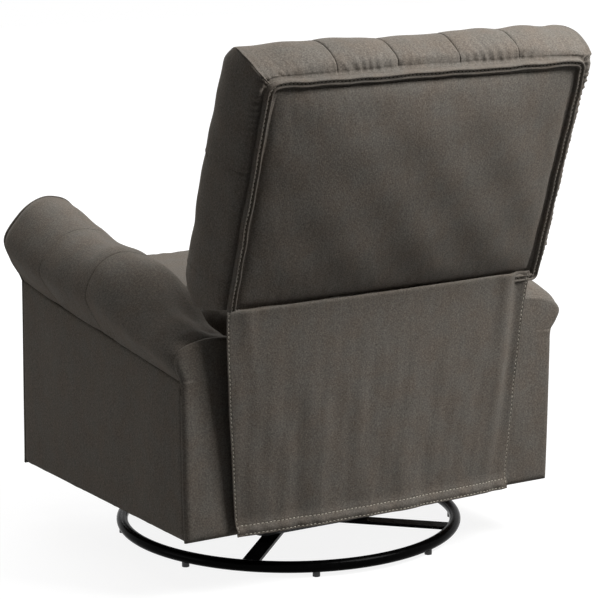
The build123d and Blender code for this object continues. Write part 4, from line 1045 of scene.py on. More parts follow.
# ---------------------------------------------------------------- back
@dataclass
class TuftedBack:
    """The leaning back: a button-tufted cushion, the rear panel, and the double welt between them."""

    wardrobe: Wardrobe
    foot_y: float = 340.0
    foot_z: float = 525.0
    lean_deg: float = 18.2
    half_width: float = 331.0
    height: float = 436.0
    foot_corner: float = 18.0
    top_corner: float = 22.0
    side_pleats: tuple[tuple[float, float], ...] = ((57.0, 0.17), (271.0, 0.17))  # level and slope
    column: float = 127.0       # between the buttons of a row
    row: float = 108.0
    first_row: float = 70.0
    rows: int = 4
    tuft_depth: float = 22.0
    tuft_radius: float = 24.0
    diamond_swell: float = 5.0
    fold_depth: float = 6.0
    fold_width: float = 6.0
    edge_swell: float = 9.0     # of the front just inside its seam
    middle_swell: float = 12.0  # and what comes on top of it in the middle
    welt_spacing: float = 11.0  # from one ridge of the welt to the other
    welt_drop: float = 8.0
    welt_height: float = 8.4
    panel_crown: float = 29.0
    foot_sag: float = 33.0      # how far the lower corners hang below the welt
    corner_drop: float = 13.0   # how far the upper corners' crest lies below the top's
    corner_lift: float = 14.0   # how far their front seam comes up again
    corner_inset: float = 8.0
    corner_width: float = 75.0  # how far the upper corners' own shape fades, across and upwards
    corner_height: float = 60.0
    corner_reach: float = 150.0  # how far below the top the corners' fullness and gathers begin
    corner_squareness: tuple[float, float] = (1.0, 0.8)  # of the upper and of the lower corners
    sag_from_x: float = 245.0
    sag_full_x: float = 315.0
    # How much fuller the sides are at the upper corners: the sitter's left one and the right one.
    corner_fullness: tuple[float, float] = (-0.14, 0.35)
    pleat_depth: float = 3.0
    mitre_depth: float = 2.2
    side_gather: float = 11.5   # from one gather to the next
    top_gather: float = 19.0
    fan_pitch: float = 10.5
    lower_height: float = 84.0
    lower_front: float = -104.0
    lower_rear: float = -47.0

    def place(self, grid: np.ndarray) -> np.ndarray:
        """Turns the back's axes into the chair's own.

        Args:
            grid: places as (x, u, n).

        Returns:
            The same places as X, Y and Z.
        """
        lean = np.radians(self.lean_deg)
        x, u, n = grid[..., 0], grid[..., 1], grid[..., 2]
        y = self.foot_y + u * np.sin(lean) + n * np.cos(lean)
        z = self.foot_z + u * np.cos(lean) - n * np.sin(lean)
        return np.stack([x, y, z], axis=-1)

    def tufts(self) -> list[tuple[float, float]]:
        """The buttons' places, in rows that stand half a column apart in turn.

        Returns:
            An (x, u) for each button.
        """
        places = []
        for number in range(self.rows):
            columns = (-2, -1, 0, 1, 2) if number % 2 == 0 else (-1.5, -0.5, 0.5, 1.5)
            places += [(c * self.column, self.first_row + number * self.row) for c in columns]
        return places

    def folds(self) -> list[tuple[tuple[float, float], tuple[float, float]]]:
        """The diamond folds, from each button to its neighbours in the next row or past the cushion's edge.

        Returns:
            The two ends of each fold as (x, u).
        """
        places = self.tufts()
        near = np.hypot(self.column / 2, self.row) + 1.0
        pairs = []
        for k, first in enumerate(places):
            for second in places[k + 1:]:
                if first[1] != second[1] and np.hypot(first[0] - second[0], first[1] - second[1]) < near:
                    pairs.append((first, second))
        last_row = self.first_row + (self.rows - 1) * self.row
        pairs += [((x, u), (x, self.height + 20.0)) for x, u in places if u == last_row]
        pairs += [((x, u), (x, -20.0)) for x, u in places if u == self.first_row]
        pairs += [((x, u), (1.4 * x, u - 52.0)) for x, u in places if abs(x) > 1.9 * self.column]
        return pairs

    def band_profiles(self, shares: np.ndarray) -> tuple[np.ndarray, np.ndarray, np.ndarray]:
        """How the band round the back swells, as (outward, n) from the welt to the front seam.

        Args:
            shares: places across the band, from 0 at the welt to 1 at the front seam.

        Returns:
            The profiles of the sides, of the top and of the foot.
        """
        sides = [(0.0, 0.0), (10.0, -1.2), (17.5, -7.5), (22.0, -22.0), (26.0, -66.0), (24.5, -100.0),
                 (18.0, -127.0), (6.0, -145.0), (-12.0, -152.0)]
        top = [(0.0, 0.0), (14.0, -2.0), (28.0, -11.0), (37.0, -31.0), (42.5, -63.0), (38.0, -92.0),
               (26.0, -114.0), (10.0, -127.0), (-12.0, -134.0)]
        foot = [(0.0, 0.0), (3.0, -6.0), (5.0, -22.0), (5.5, -50.0), (4.5, -78.0), (2.0, -98.0),
                (-3.0, -109.0), (-9.0, -115.0), (-16.0, -119.0)]
        return tuple(curve_through(profile, shares) for profile in (sides, top, foot))

    def rim(self, which: str, shares: np.ndarray) -> tuple[np.ndarray, np.ndarray]:
        """One side of the welt's rounded rectangle, from the middle of one corner to that of the next.

        Args:
            which: foot, top, low_x or high_x.
            shares: places along it, towards +x or upwards.

        Returns:
            The places as (x, u) and the directions that point out of the rectangle.
        """
        w, h, low, high = self.half_width, self.height, self.foot_corner, self.top_corner
        ends = {
            "foot": ((-w + low, low, low, 225, 270), (w - low, low, low, 270, 315)),
            "top": ((-w + high, h - high, high, 135, 90), (w - high, h - high, high, 90, 45)),
            "low_x": ((-w + low, low, low, 225, 180), (-w + high, h - high, high, 180, 135)),
            "high_x": ((w - low, low, low, -45, 0), (w - high, h - high, high, 0, 45)),
        }[which]
        outward = [directions(np.linspace(start, stop, 20)) for *_, start, stop in ends]
        places = [np.array([x, u]) + r * out for (x, u, r, _, _), out in zip(ends, outward)]
        places, outward = np.vstack(places), np.vstack(outward)
        run = lengths_along(places)
        wanted = shares * run[-1]
        return read_along(wanted, run, places), unit(read_along(wanted, run, outward))

    def band(self) -> tuple[np.ndarray, int, int]:
        """The band round the back, from the welt to the front seam, with pleats, gathers and mitres.

        Returns:
            The grid (across the band by round it), and the number of columns along foot and side.
        """
        length = 2 * self.half_width - (2 - np.pi / 2) * self.top_corner
        along = spread(-length / 2, length / 2, 3.6, [-length / 2, *self.pleats(), length / 2]) / length + 0.5
        levels = [level for level, _ in self.side_pleats]
        upward = spread(0.0, self.height, 3.6, [*levels, self.height]) / self.height
        foot, high_x = self.rim("foot", along), self.rim("high_x", upward)
        top, low_x = self.rim("top", along[::-1]), self.rim("low_x", upward[::-1])
        path, out = (np.vstack([side[k][:-1] for side in (foot, high_x, top, low_x)]) for k in (0, 1))
        across = np.concatenate([np.linspace(0.0, 0.2, 16)[:-1], np.linspace(0.2, 1.0, 34)])
        sharing = np.stack([out[:, 0] ** 2, np.clip(out[:, 1], 0, 1) ** 2, np.clip(-out[:, 1], 0, 1) ** 2])
        grid = self.band_shape(path, out, across[:, None], sharing)
        height = self.band_relief(grid, out, np.broadcast_to(across[:, None], grid.shape[:2]), sharing)
        grid = grid + grid_normals(grid, closed=True) * height[..., None]
        return grid, len(along), len(upward)

    def pleats(self) -> np.ndarray:
        """Places of the pleats across the top, midway between the buttons' columns."""
        return np.array([k * self.column for k in (-1.5, -0.5, 0.5, 1.5)])

    def band_shape(self, path: np.ndarray, out: np.ndarray, t: np.ndarray, sharing: np.ndarray) -> np.ndarray:
        """The smooth band: sides, top and foot swell by their own profiles and meet in boxy corners.

        Args:
            path: the welt's places as (x, u).
            out: the directions out of it.
            t: places across the band, from 0 at the welt, in a column.
            sharing: how much each place belongs to the sides, the top and the foot.

        Returns:
            The band as (x, u, n), across by round.
        """
        sides, top, foot = self.band_profiles(t[:, 0])
        profile = np.einsum("ks,ktc->tsc", sharing, np.stack([sides, top, foot]))
        boxy = np.where(out[:, 1] > 0, *self.corner_squareness)
        spoke = out / np.max(np.abs(out), axis=1, keepdims=True) ** boxy[:, None]
        outermost = smoothstep(self.sag_from_x, self.sag_full_x, np.abs(path[:, 0]))
        sag = self.foot_sag * outermost * np.sin(np.pi * t**2) ** 0.7
        rise = np.where(out[:, 1] > 0, top[:, :1], foot[:, :1] + sag)
        near_top = smoothstep(self.height - self.corner_reach, self.height + 5.0, path[:, 1])
        full = 1.0 + np.where(out[:, 0] > 0, *self.corner_fullness) * near_top
        flat = path[None] + np.stack([sides[:, :1] * spoke[:, 0] * full, rise * spoke[:, 1]], axis=-1)
        corner = bell(np.abs(flat[..., 0]) - self.half_width, self.corner_width)
        corner = corner * bell(path[None, :, 1] - self.height, self.corner_height)
        to_front, off_welt = smoothstep(0.4, 0.95, t), smoothstep(0.0, 0.25, t)
        lift = self.corner_lift * to_front - self.corner_drop * off_welt + np.zeros(corner.shape)
        shift = [-self.corner_inset * to_front * np.sign(flat[..., 0]), lift]
        flat = flat + corner[..., None] * np.stack(shift, axis=-1)
        return np.concatenate([flat, profile[..., 1:]], axis=-1)

    def band_relief(
        self, grid: np.ndarray, out: np.ndarray, t: np.ndarray, sharing: np.ndarray
    ) -> np.ndarray:
        """Pleats, gathers and mitres of the band.

        Args:
            grid: the smooth band.
            out: the directions out of the welt.
            t: places across the band, from 0 at the welt to 1 at the front seam.
            sharing: how much each place belongs to the sides, the top and the foot.

        Returns:
            Heights over the smooth band.
        """
        x, u, n = grid[..., 0], grid[..., 1], grid[..., 2]
        on_side, on_top, _ = (np.broadcast_to(share, x.shape) for share in sharing)
        free = smoothstep(0.0, 0.06, t) * (1.0 - smoothstep(0.93, 1.0, t))
        height = 1.7 * ripple(grid, 95.0, 31) * free
        height -= on_top * free * (7.0 + 4.5 * bell(x - 10.0, 110.0))
        # Top pleats: the cloth puffs up between them.
        nearest = np.min(np.abs(x[..., None] - self.pleats()), axis=-1)
        puff = 2.0 * (1.0 - bell(nearest, 26.0)) - 1.0
        height += on_top * free * (puff + crease(nearest, self.pleat_depth, 1.5))
        # Side pleats: folded cloth, with a full lip above and a sharp step below.
        for level, slope in self.side_pleats:
            off = u - level - slope * n
            folded = np.where(off > 0, 1.7 * np.exp(-off / 9.0), -1.6 * np.exp(off / 2.2))
            height += on_side * free * folded
        # Gathers along the welt, strongest at the upper corners, and the dip beside it.
        corner = smoothstep(self.height - self.corner_reach, self.height - 10.0, u)
        waves = gathers(u / self.side_gather + 0.35 * ripple(grid, 70.0, 37))
        height += on_side * free * np.exp(n / 24.0) * (0.9 + 1.6 * corner) * waves
        waves = gathers(x / self.top_gather + 0.5 * ripple(grid, 80.0, 39))
        height += on_top * free * np.exp(n / 20.0) * (1.1 + 0.8 * ripple(grid, 120.0, 35)) * waves
        height -= 3.0 * bell(t - 0.03, 0.018) * smoothstep(0.0, 0.015, t)
        # Mitres: a sewn line out of each upper corner, with puckers that fan out beside it.
        inward = 0.3 * self.top_corner
        mitre = np.hypot(np.abs(x) - self.half_width + inward, u - self.height + inward)
        turn = np.abs(np.arctan2(np.abs(out[:, 0]), out[:, 1]) - np.pi / 4)[None]
        past_corner = np.where(turn > 0.7, mitre - 30.0, 0.0)
        from_mitre = np.minimum(FAR, turn * (self.top_corner + 30.0) + past_corner)
        upper = (out[:, 1] > 0.05)[None]
        height += upper * crease(from_mitre, self.mitre_depth, 1.2) * free
        fan = np.sin(2 * np.pi * from_mitre / self.fan_pitch) * np.exp(-from_mitre / 36.0) * np.exp(n / 34.0)
        height += upper * (1.8 + 2.0 * on_top) * fan * free
        return height

    def front(self, edge: np.ndarray, columns: int, rows: int) -> np.ndarray:
        """The tufted front, stretched inside the band's front seam.

        Args:
            edge: the seam's places, from the foot's lower x corner round to the top.
            columns: places along the foot.
            rows: places up a side.

        Returns:
            A grid, across by up.
        """
        foot = edge[:columns]
        high_x = edge[columns - 1: columns + rows - 1]
        top = edge[columns + rows - 2: 2 * columns + rows - 2][::-1]
        low_x = np.vstack([edge[2 * columns + rows - 3:], edge[:1]])[::-1]
        a = np.clip((foot[:, 0] - foot[0, 0]) / (foot[-1, 0] - foot[0, 0]), 0, 1)[:, None, None]
        b = np.clip((low_x[:, 1] - low_x[0, 1]) / (low_x[-1, 1] - low_x[0, 1]), 0, 1)[None, :, None]
        grid = (1 - b) * foot[:, None] + b * top[:, None] + (1 - a) * low_x[None] + a * high_x[None]
        grid -= (1 - a) * (1 - b) * foot[0] + a * (1 - b) * foot[-1] + (1 - a) * b * top[0] + a * b * top[-1]
        x, u = grid[..., 0], grid[..., 1]
        a, b = a[..., 0], b[..., 0]
        from_side, from_foot = a * (1 - a), b * (1 - b)
        inside = np.minimum(from_side / 0.06, 1.0) * np.minimum(from_foot / 0.09, 1.0)
        swell = self.edge_swell + self.middle_swell * 16.0 * from_side * from_foot
        grid[..., 2] -= np.sqrt(np.clip(inside, 0, 1)) * (swell + self.tuft_relief(x, u))
        return grid

    def cushion(self) -> np.ndarray:
        """The cushion: the pleated band, the tufted front and a flat rear that the panel covers.

        Returns:
            The tufted front, on which the buttons sit.
        """
        band, columns, rows = self.band()
        face = self.front(band[-1], columns, rows)
        patchwork = Patchwork()
        patchwork.add(self.place(band), closed=True)
        patchwork.add(self.place(face))
        patchwork.fill(self.place(band[0]))
        piece = patchwork.build("back_cushion_cover", self.wardrobe.get(Finish.UPHOLSTERY), weld=0.05)
        upholster(piece, "back", ["back_cushion"])
        return face

    def tuft_relief(self, x: np.ndarray, u: np.ndarray) -> np.ndarray:
        """Depth of the buttons' dimples and of the diamond folds between them.

        Args:
            x: places across the front.
            u: places up it.

        Returns:
            Heights, with the diamonds swelling up between the folds.
        """
        nearest_fold = np.full(x.shape, FAR)
        for (x0, u0), (x1, u1) in self.folds():
            run = np.array([x1 - x0, u1 - u0])
            share = np.clip(((x - x0) * run[0] + (u - u0) * run[1]) / (run @ run), 0.0, 1.0)
            off = np.hypot(x - x0 - share * run[0], u - u0 - share * run[1])
            nearest_fold = np.minimum(nearest_fold, off)
        nearest_tuft = np.full(x.shape, FAR)
        for x0, u0 in self.tufts():
            nearest_tuft = np.minimum(nearest_tuft, np.hypot(x - x0, u - u0))
        swell = self.diamond_swell * (1.0 - bell(nearest_fold, self.tuft_radius))
        dimples = self.tuft_depth * np.exp(-(nearest_tuft / self.tuft_radius) ** 1.6)
        return swell + crease(nearest_fold, self.fold_depth, self.fold_width) - dimples

    def buttons(self, face: np.ndarray) -> None:
        """Covered buttons, domed, one at the bottom of each dimple.

        Args:
            face: the tufted front.
        """
        patchwork = Patchwork()
        round_once = directions(np.linspace(0.0, 360.0, 28, endpoint=False))
        dome = [(0.2, 5.6), (4.0, 5.3), (7.5, 4.2), (10.0, 2.2), (11.0, 0.0), (10.4, -2.0), (8.0, -3.0)]
        spots = face.reshape(-1, 3)
        for x0, u0 in self.tufts():
            floor = spots[np.argmin(np.hypot(spots[:, 0] - x0, spots[:, 1] - u0)), 2] + 1.0
            placed = self.place(np.array([
                np.insert((x0, u0) + radius * round_once, 2, floor - rise, axis=1) for radius, rise in dome
            ]))
            patchwork.add(placed, closed=True)
            patchwork.fill(placed[0])
            patchwork.fill(placed[-1])
        self.wardrobe.cover(patchwork, "back_button_covers", "back", "back_buttons")

    def panel(self) -> None:
        """The rear panel, which sits back from the welts at its edge and swells between them."""
        inset = self.welt_spacing - 0.5
        half = self.half_width - inset
        xs = spread(-half, half, 7.0)
        us = spread(inset - self.welt_drop, self.height - inset, 7.0)
        x, u = np.meshgrid(xs, us, indexing="ij")
        across = 1.0 - np.abs(x / half) ** 2.1
        upward = 1.0 - np.abs(2 * (u - us[0]) / (us[-1] - us[0]) - 1.0) ** 2.4
        edge = np.minimum(half - np.abs(x), np.minimum(u - us[0], us[-1] - u))
        n = self.panel_crown * np.sqrt(np.clip(across * upward, 0.0, 1.0)) ** 1.4 - 7.0 * np.exp(-edge / 6.0)
        places = np.stack([x, u], axis=-1)
        n += 1.4 * ripple(places, 140.0, 41) * smoothstep(0.0, 60.0, edge)
        n += 0.5 * ripple(places * np.array([1.0, 0.35]), 26.0, 43) * np.exp(-edge / 45.0)
        face = np.stack([x, u, n], axis=-1)
        back = np.stack([x, u, np.full_like(n, -12.0)], axis=-1)
        patchwork = Patchwork()
        patchwork.shell(self.place(face), self.place(back))
        self.wardrobe.cover(patchwork, "back_panel_cover", "back", "back_panel")

    def welt_path(self, shares: np.ndarray) -> tuple[np.ndarray, np.ndarray]:
        """The welt's rounded rectangle, whose foot runs behind the flap.

        Args:
            shares: places round it, from 0 to 1.

        Returns:
            The places as (x, u) and the directions that point out of the rectangle.
        """
        w, low, high = self.half_width, -self.welt_drop, self.height
        foot, top = self.foot_corner / 2, self.top_corner - 2.0
        corners = [(w - foot, low + foot, foot, -90), (w - top, high - top, top, 0),
                   (-w + top, high - top, top, 90), (-w + foot, low + foot, foot, 180)]
        places, normals = [], []
        for x, u, radius, start in corners:
            outward = directions(np.linspace(start, start + 90, 14))
            places.append(np.array([x, u]) + radius * outward)
            normals.append(outward)
        places, normals = np.vstack([*places, places[0][:1]]), np.vstack([*normals, normals[0][:1]])
        run = lengths_along(places)
        wanted = shares * run[-1]
        return read_along(wanted, run, places), read_along(wanted, run, normals)

    def welt(self) -> None:
        """The topstitched double welt: two ridges with a row of stitches in the valley between them."""
        shares = np.linspace(0.0, 1.0, 700, endpoint=False)
        path, outward = self.welt_path(shares)
        top = self.welt_height
        outer_ridge = [(3.2, -3.0), (3.4, 1.0), (3.2, 4.4), (2.2, top - 1.0), (0.6, top), (-1.0, top - 0.8),
                       (-2.2, top - 2.9), (-3.2, top - 4.5)]
        inner_ridge = [(-5.2, top - 4.5), (-6.2, top - 2.8), (-7.6, top - 1.3), (-9.2, top - 1.4),
                       (-10.5, top - 2.8), (-11.2, top - 5.2), (-11.4, 1.0), (-11.3, -3.0)]
        across = np.array([*outer_ridge, (-4.2, top - 4.9), *inner_ridge])
        offsets = across[:, 0][None, :] + 1.1 * ripple(path, 85.0, 47)[:, None]
        spots = path[:, None, :] + offsets[..., None] * outward[:, None, :]
        n = across[:, 1][None, :] * (1.0 + 0.07 * ripple(path, 60.0, 53)[:, None])
        ring = self.place(np.concatenate([spots, n[..., None]], axis=-1))
        ring = np.concatenate([ring, ring[:1]])
        patchwork = Patchwork()
        patchwork.add(ring)
        patchwork.add(ring[:, [-1, 0]])
        self.wardrobe.cover(patchwork, "back_welt_cover", "back", "back_welt", "welt")

        valley = spots[:, len(outer_ridge)]
        spine = self.place(np.concatenate([valley, np.full((len(valley), 1), top - 4.4)], axis=-1))
        up = self.place(np.array([0.0, 0.0, 1.0])) - self.place(np.zeros(3))
        row = StitchRow(self.wardrobe, radius=0.62)
        row.sew("back_welt_stitches", spine, np.tile(up, (len(spine), 1)), "back", "welt")

    def lower_cushion(self) -> None:
        """The part of the back between the arms, a plain padded block in front of its frame."""
        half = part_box("back_lower_cushion")[1].x / MM - 1.0
        shares = np.linspace(-1.0, 1.0, 50)
        downs = np.linspace(0.0, -self.lower_height, 24)
        x, u = np.meshgrid(shares * half, downs, indexing="ij")
        edge = np.minimum(half - np.abs(x), u + self.lower_height)
        face = np.stack([x, u, self.lower_front + 14.0 * round_off(edge, 14.0)], axis=-1)
        back = np.stack([x, u, np.full_like(x, self.lower_rear)], axis=-1)
        patchwork = Patchwork()
        patchwork.shell(self.place(face), self.place(back))
        piece = patchwork.build("back_lower_cover", self.wardrobe.get(Finish.UPHOLSTERY))
        upholster(piece, "back", ["back_lower_cushion"])

    def build(self) -> None:
        """Makes every piece of the back."""
        self.buttons(self.cushion())
        self.panel()
        self.welt()
        self.lower_cushion()


# ---------------------------------------------------------------- cloth that hangs behind the seat
@dataclass
class RearFlap:
    """A single cloth that hangs from the back's foot, hemmed and topstitched, with soft upright folds."""

    wardrobe: Wardrobe
    top_half: float = 326.0
    bottom_half: float = 297.0
    top_aside: float = 12.0
    bottom_aside: float = 5.0
    top_z: float = 530.5
    bottom_z: float = 110.0
    top_y: float = 351.0
    bottom_y: float = 311.0
    top_bow: float = 7.0
    bottom_bow: float = 20.0
    thickness: float = 1.8
    hem: float = 19.0
    hem_edge: float = 3.6
    side_hem: float = 3.4
    flare: float = 7.0          # how far the stiff hem stands out
    flare_height: float = 34.0
    pulled_at: float = 0.93     # share of the half width where the upper corners pull at the cloth
    pull_ridge: float = 4.0
    pull_hollow: float = 6.0
    pull_left: float = 2.6
    crossing: Crossing = Crossing("back", 512.0, 440.0)
    # Soft upright folds: height, place across from -1 to 1, drift on the way down, and half width.
    folds: tuple[tuple[float, float, float, float], ...] = (
        (3.2, 0.42, 0.05, 0.10), (-2.6, 0.60, -0.02, 0.07), (2.8, -0.12, -0.06, 0.12),
        (-2.4, -0.36, 0.04, 0.09), (2.0, 0.16, -0.03, 0.06),
    )

    def __post_init__(self) -> None:
        """Works out the cloth's drop."""
        self.length = self.top_z - self.bottom_z

    def depth(self, t: np.ndarray, drop: np.ndarray) -> np.ndarray:
        """How far to the rear the cloth hangs.

        Args:
            t: places across, from -1 on the sitter's right to 1 on the left.
            drop: places down, from 0 at the top seam to 1 at the hem.

        Returns:
            Y of the cloth's middle.
        """
        base = self.top_y + (self.bottom_y - self.top_y) * drop**0.6
        bow = (self.top_bow + (self.bottom_bow - self.top_bow) * drop**0.6) * (1.0 - t**2)
        folds = sum(
            height * bell(t - place - drift * drop, width) for height, place, drift, width in self.folds
        ) * smoothstep(0.05, 0.9, drop)
        # The upper corners are pulled: a ridge and a hollow run down from the sitter's right one.
        from_right = t + self.pulled_at + 0.03 * np.sin(np.pi * drop) - 0.04 * drop
        ridge, hollow = bell(from_right - 0.09, 0.045), bell(from_right, 0.04)
        fading = 1.0 - 0.75 * smoothstep(0.3, 1.0, drop)
        pulled = (self.pull_ridge * ridge - self.pull_hollow * hollow) * fading
        from_left = self.pulled_at - 0.10 * drop - t
        pulled += self.pull_left * bell(from_left - 0.05, 0.05) * (1.0 - smoothstep(0.0, 0.5, drop))
        places = np.stack([300.0 * t, 140.0 * drop], axis=-1)
        creases = 0.9 * ripple(places, 48.0, 61) * smoothstep(0.0, 0.5, drop)
        flare = self.flare * smoothstep(1.0 - self.flare_height / self.length, 1.0, drop)
        tucked = -4.0 * np.exp(-drop * self.length / 2.2)
        return base + bow + folds + pulled + creases + flare + tucked

    def face_grid(self, ts: np.ndarray, drops: np.ndarray, out: float = 0.0) -> np.ndarray:
        """The cloth's middle surface, moved out to the rear.

        Args:
            ts: places across.
            drops: places down.
            out: how far it is moved to the rear.

        Returns:
            A grid of places, across by down.
        """
        t, drop = np.meshgrid(ts, drops, indexing="ij")
        half = self.half(drop)
        droop = 2.0 * (t**2) * drop
        x = half * t + self.top_aside + (self.bottom_aside - self.top_aside) * drop
        z = self.top_z - self.length * drop - droop - 2.5 * t * (1.0 - drop)
        above, aside = self.length * (1.0 - drop), half * (1.0 - np.abs(t))
        puff = 1.5 * bell(above - 11.0, 5.0) + 0.8 * (1.0 - smoothstep(self.hem - 2.0, self.hem + 2.0, above))
        stitched = -1.0 * bell(above - self.hem, 1.6) - 0.7 * bell(above - self.hem_edge, 1.4)
        stitched += -0.7 * bell(aside - self.side_hem, 1.5)
        pucker = 0.7 * ripple(np.stack([x, above], axis=-1), 30.0, 67) * bell(above - 0.6 * self.hem, 9.0)
        return np.stack([x, self.depth(t, drop) + out + puff + stitched + pucker, z], axis=-1)

    def half(self, drop: np.ndarray) -> np.ndarray:
        """Half the cloth's width, which narrows on the way down."""
        return self.top_half + (self.bottom_half - self.top_half) * drop

    def build(self) -> None:
        """Hangs the cloth and sews its hems."""
        length = self.length
        side, top, foot = 10.0 / self.bottom_half, 12.0 / length, 26.0 / length
        ts = fine_ends(-1.0, 1.0, (side, side), (12, 190, 12))
        drops = fine_ends(0.0, 1.0, (top, foot), (9, 90, 24))
        rear = self.face_grid(ts, drops, self.thickness / 2)
        front = self.face_grid(ts, drops, -self.thickness / 2)
        patchwork = Patchwork()
        patchwork.shell(rear, front)
        cloth = patchwork.build("rear_flap_cloth", self.wardrobe.get(Finish.FLAP_CLOTH))
        upholster(cloth, "flap", ["rear_flap"], self.crossing)
        rows = self.hem_row("hem_upper", self.hem) + self.hem_row("hem_lower", self.hem_edge)
        rows += self.side_row("side_left", 1.0) + self.side_row("side_right", -1.0)

    def sew(self, name: str, ts: np.ndarray, drops: np.ndarray) -> list[bpy.types.Object]:
        """A row of stitches through given places of the cloth.

        Args:
            name: the row's name.
            ts: places across.
            drops: places down, as many.

        Returns:
            Its thread and the black beads of painted hole shade, put on no body because of the crossing.
        """
        path = np.array([self.face_grid(np.array([t]), np.array([drop]), self.thickness / 2)[0, 0]
                         for t, drop in zip(ts, drops)])
        normals = np.tile(np.array([0.0, 1.0, 0.0]), (len(path), 1))
        row = StitchRow(self.wardrobe)
        return row.sew(f"rear_flap_{name}", path, normals, "flap", "flap_cloth", self.crossing)

    def hem_row(self, name: str, above: float) -> list[bpy.types.Object]:
        """A row along the hem, this far above its edge."""
        ts = np.linspace(-0.975, 0.975, 400)
        return self.sew(name, ts, np.full(len(ts), 1.0 - above / self.length))

    def side_row(self, name: str, side: float) -> list[bpy.types.Object]:
        """A row down one side edge, from the top seam to the hem."""
        drops = np.linspace(0.006, 1.0 - self.hem_edge / self.length, 300)
        return self.sew(name, side * (1.0 - self.side_hem / self.half(drops)), drops)


# ---------------------------------------------------------------- seat and footrest
@dataclass(frozen=True)
class Padding:
    """Blows a cushion up like stuffed cloth, by a cloth simulation with pressure inside."""

    cap: float                  # the farthest that the cloth may move
    voxel: float = 6.0
    pressure: float = 4.0
    frames: int = 20
    stretch: float = 25.0
    bending: float = 0.6

    def inflate(self, piece: bpy.types.Object) -> None:
        """Runs the cloth for a few frames and keeps its shape.

        Args:
            piece: a closed mesh, a little smaller than the cushion.
        """
        bpy.context.view_layer.objects.active = piece
        piece.select_set(True)
        remesh = piece.modifiers.new("Voxels", "REMESH")
        remesh.mode = "VOXEL"
        remesh.voxel_size = self.voxel * MM
        remesh.use_smooth_shade = True
        bpy.ops.object.modifier_apply(modifier=remesh.name)
        start = np.array([v.co for v in piece.data.vertices])
        cloth = piece.modifiers.new("Stuffing", "CLOTH")
        cloth.settings.use_pressure = True
        cloth.settings.uniform_pressure_force = self.pressure
        cloth.settings.effector_weights.gravity = 0.0
        cloth.settings.quality = 5
        cloth.settings.tension_stiffness = self.stretch
        cloth.settings.compression_stiffness = self.stretch
        cloth.settings.bending_stiffness = self.bending
        cloth.point_cache.frame_end = self.frames
        for number in range(1, self.frames + 1):
            bpy.context.scene.frame_set(number)
        graph = bpy.context.evaluated_depsgraph_get()
        blown = np.array([v.co for v in piece.evaluated_get(graph).data.vertices])
        piece.modifiers.remove(cloth)
        bpy.context.scene.frame_set(1)
        move = blown - start
        length = np.maximum(np.linalg.norm(move, axis=1, keepdims=True), 1e-9)
        start = start + move * np.minimum(1.0, self.cap * MM / length)
        piece.data.vertices.foreach_set("co", start.ravel())
        smooth = piece.modifiers.new("Finer", "SUBSURF")
        smooth.levels = smooth.render_levels = 1
        bpy.ops.object.modifier_apply(modifier=smooth.name)
        piece.data.shade_smooth()
        piece.select_set(False)


def rounded_block(low: Vector, high: Vector, inset: float, power: float, count: int) -> Patchwork:
    """A box with rounded edges and drawn-in sides, as grids on its six sides.

    Args:
        low: lowest corner of the room that it may fill, in millimetres from the swivel axis.
        high: highest corner.
        inset: how far it stays inside that room.
        power: how boxy it is, from 2 for an ellipsoid up.
        count: columns and rows on each side.

    Returns:
        The grids, ready to build.
    """
    middle = (np.array(low) + np.array(high)) / 2
    half = (np.array(high) - np.array(low)) / 2 - inset
    patchwork = Patchwork()
    ticks = np.tan(np.linspace(-np.pi / 4, np.pi / 4, count))
    a, b = np.meshgrid(ticks, ticks, indexing="ij")
    for axis in range(3):
        for sign in (-1.0, 1.0):
            cube = np.empty((count, count, 3))
            cube[..., axis] = sign
            cube[..., (axis + 1) % 3] = a
            cube[..., (axis + 2) % 3] = b
            length = np.sum(np.abs(cube) ** power, axis=-1, keepdims=True) ** (1 / power)
            patchwork.add(middle + half * cube / length)
    return patchwork


@dataclass
class SeatAndFootrest:
    """The boxed, crowned seat cushion and the thin, firm pad of the fold-out footrest."""

    wardrobe: Wardrobe
    seat_padding: Padding = Padding(cap=22.0)
    pad_padding: Padding = Padding(voxel=5.0, cap=6.0)
    inset: float = 3.0
    boxiness: float = 9.0
    crown: float = 6.0

    def cushion(self, node: str, padding: Padding, body: str, fill: float) -> None:
        """A cushion in the room of its solid, blown up and kept off its neighbours.

        Args:
            node: the solid that it stands for.
            padding: how it is stuffed.
            body: the moving body that carries it.
            fill: how firmly it is stuffed, from 0 to 1; not used.
        """
        axis = chair_axis()
        low, high = ((corner - Vector(axis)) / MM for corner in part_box(node))
        block = rounded_block(low, high, self.inset, self.boxiness, 60)
        piece = block.build(f"{node}_cover", self.wardrobe.get(Finish.UPHOLSTERY))
        padding.inflate(piece)
        floor, roof = np.array(low) * MM + axis, np.array(high) * MM + axis
        roof[2] += self.crown * MM
        places = np.clip(np.array([v.co for v in piece.data.vertices]), floor, roof)
        piece.data.vertices.foreach_set("co", places.ravel())
        piece.data.update()
        upholster(piece, body, [node])

    def build(self) -> None:
        """Makes both cushions."""
        self.cushion("seat_cushion", self.seat_padding, "chair", 0.75)
        self.cushion("footrest_pad", self.pad_padding, "footrest", 0.8)


# ---------------------------------------------------------------- studio
@dataclass(frozen=True)
class Lamp:
    """A square soft lamp that looks at the chair's middle."""

    name: str
    place: tuple[float, float, float]
    size_m: float
    watts: float


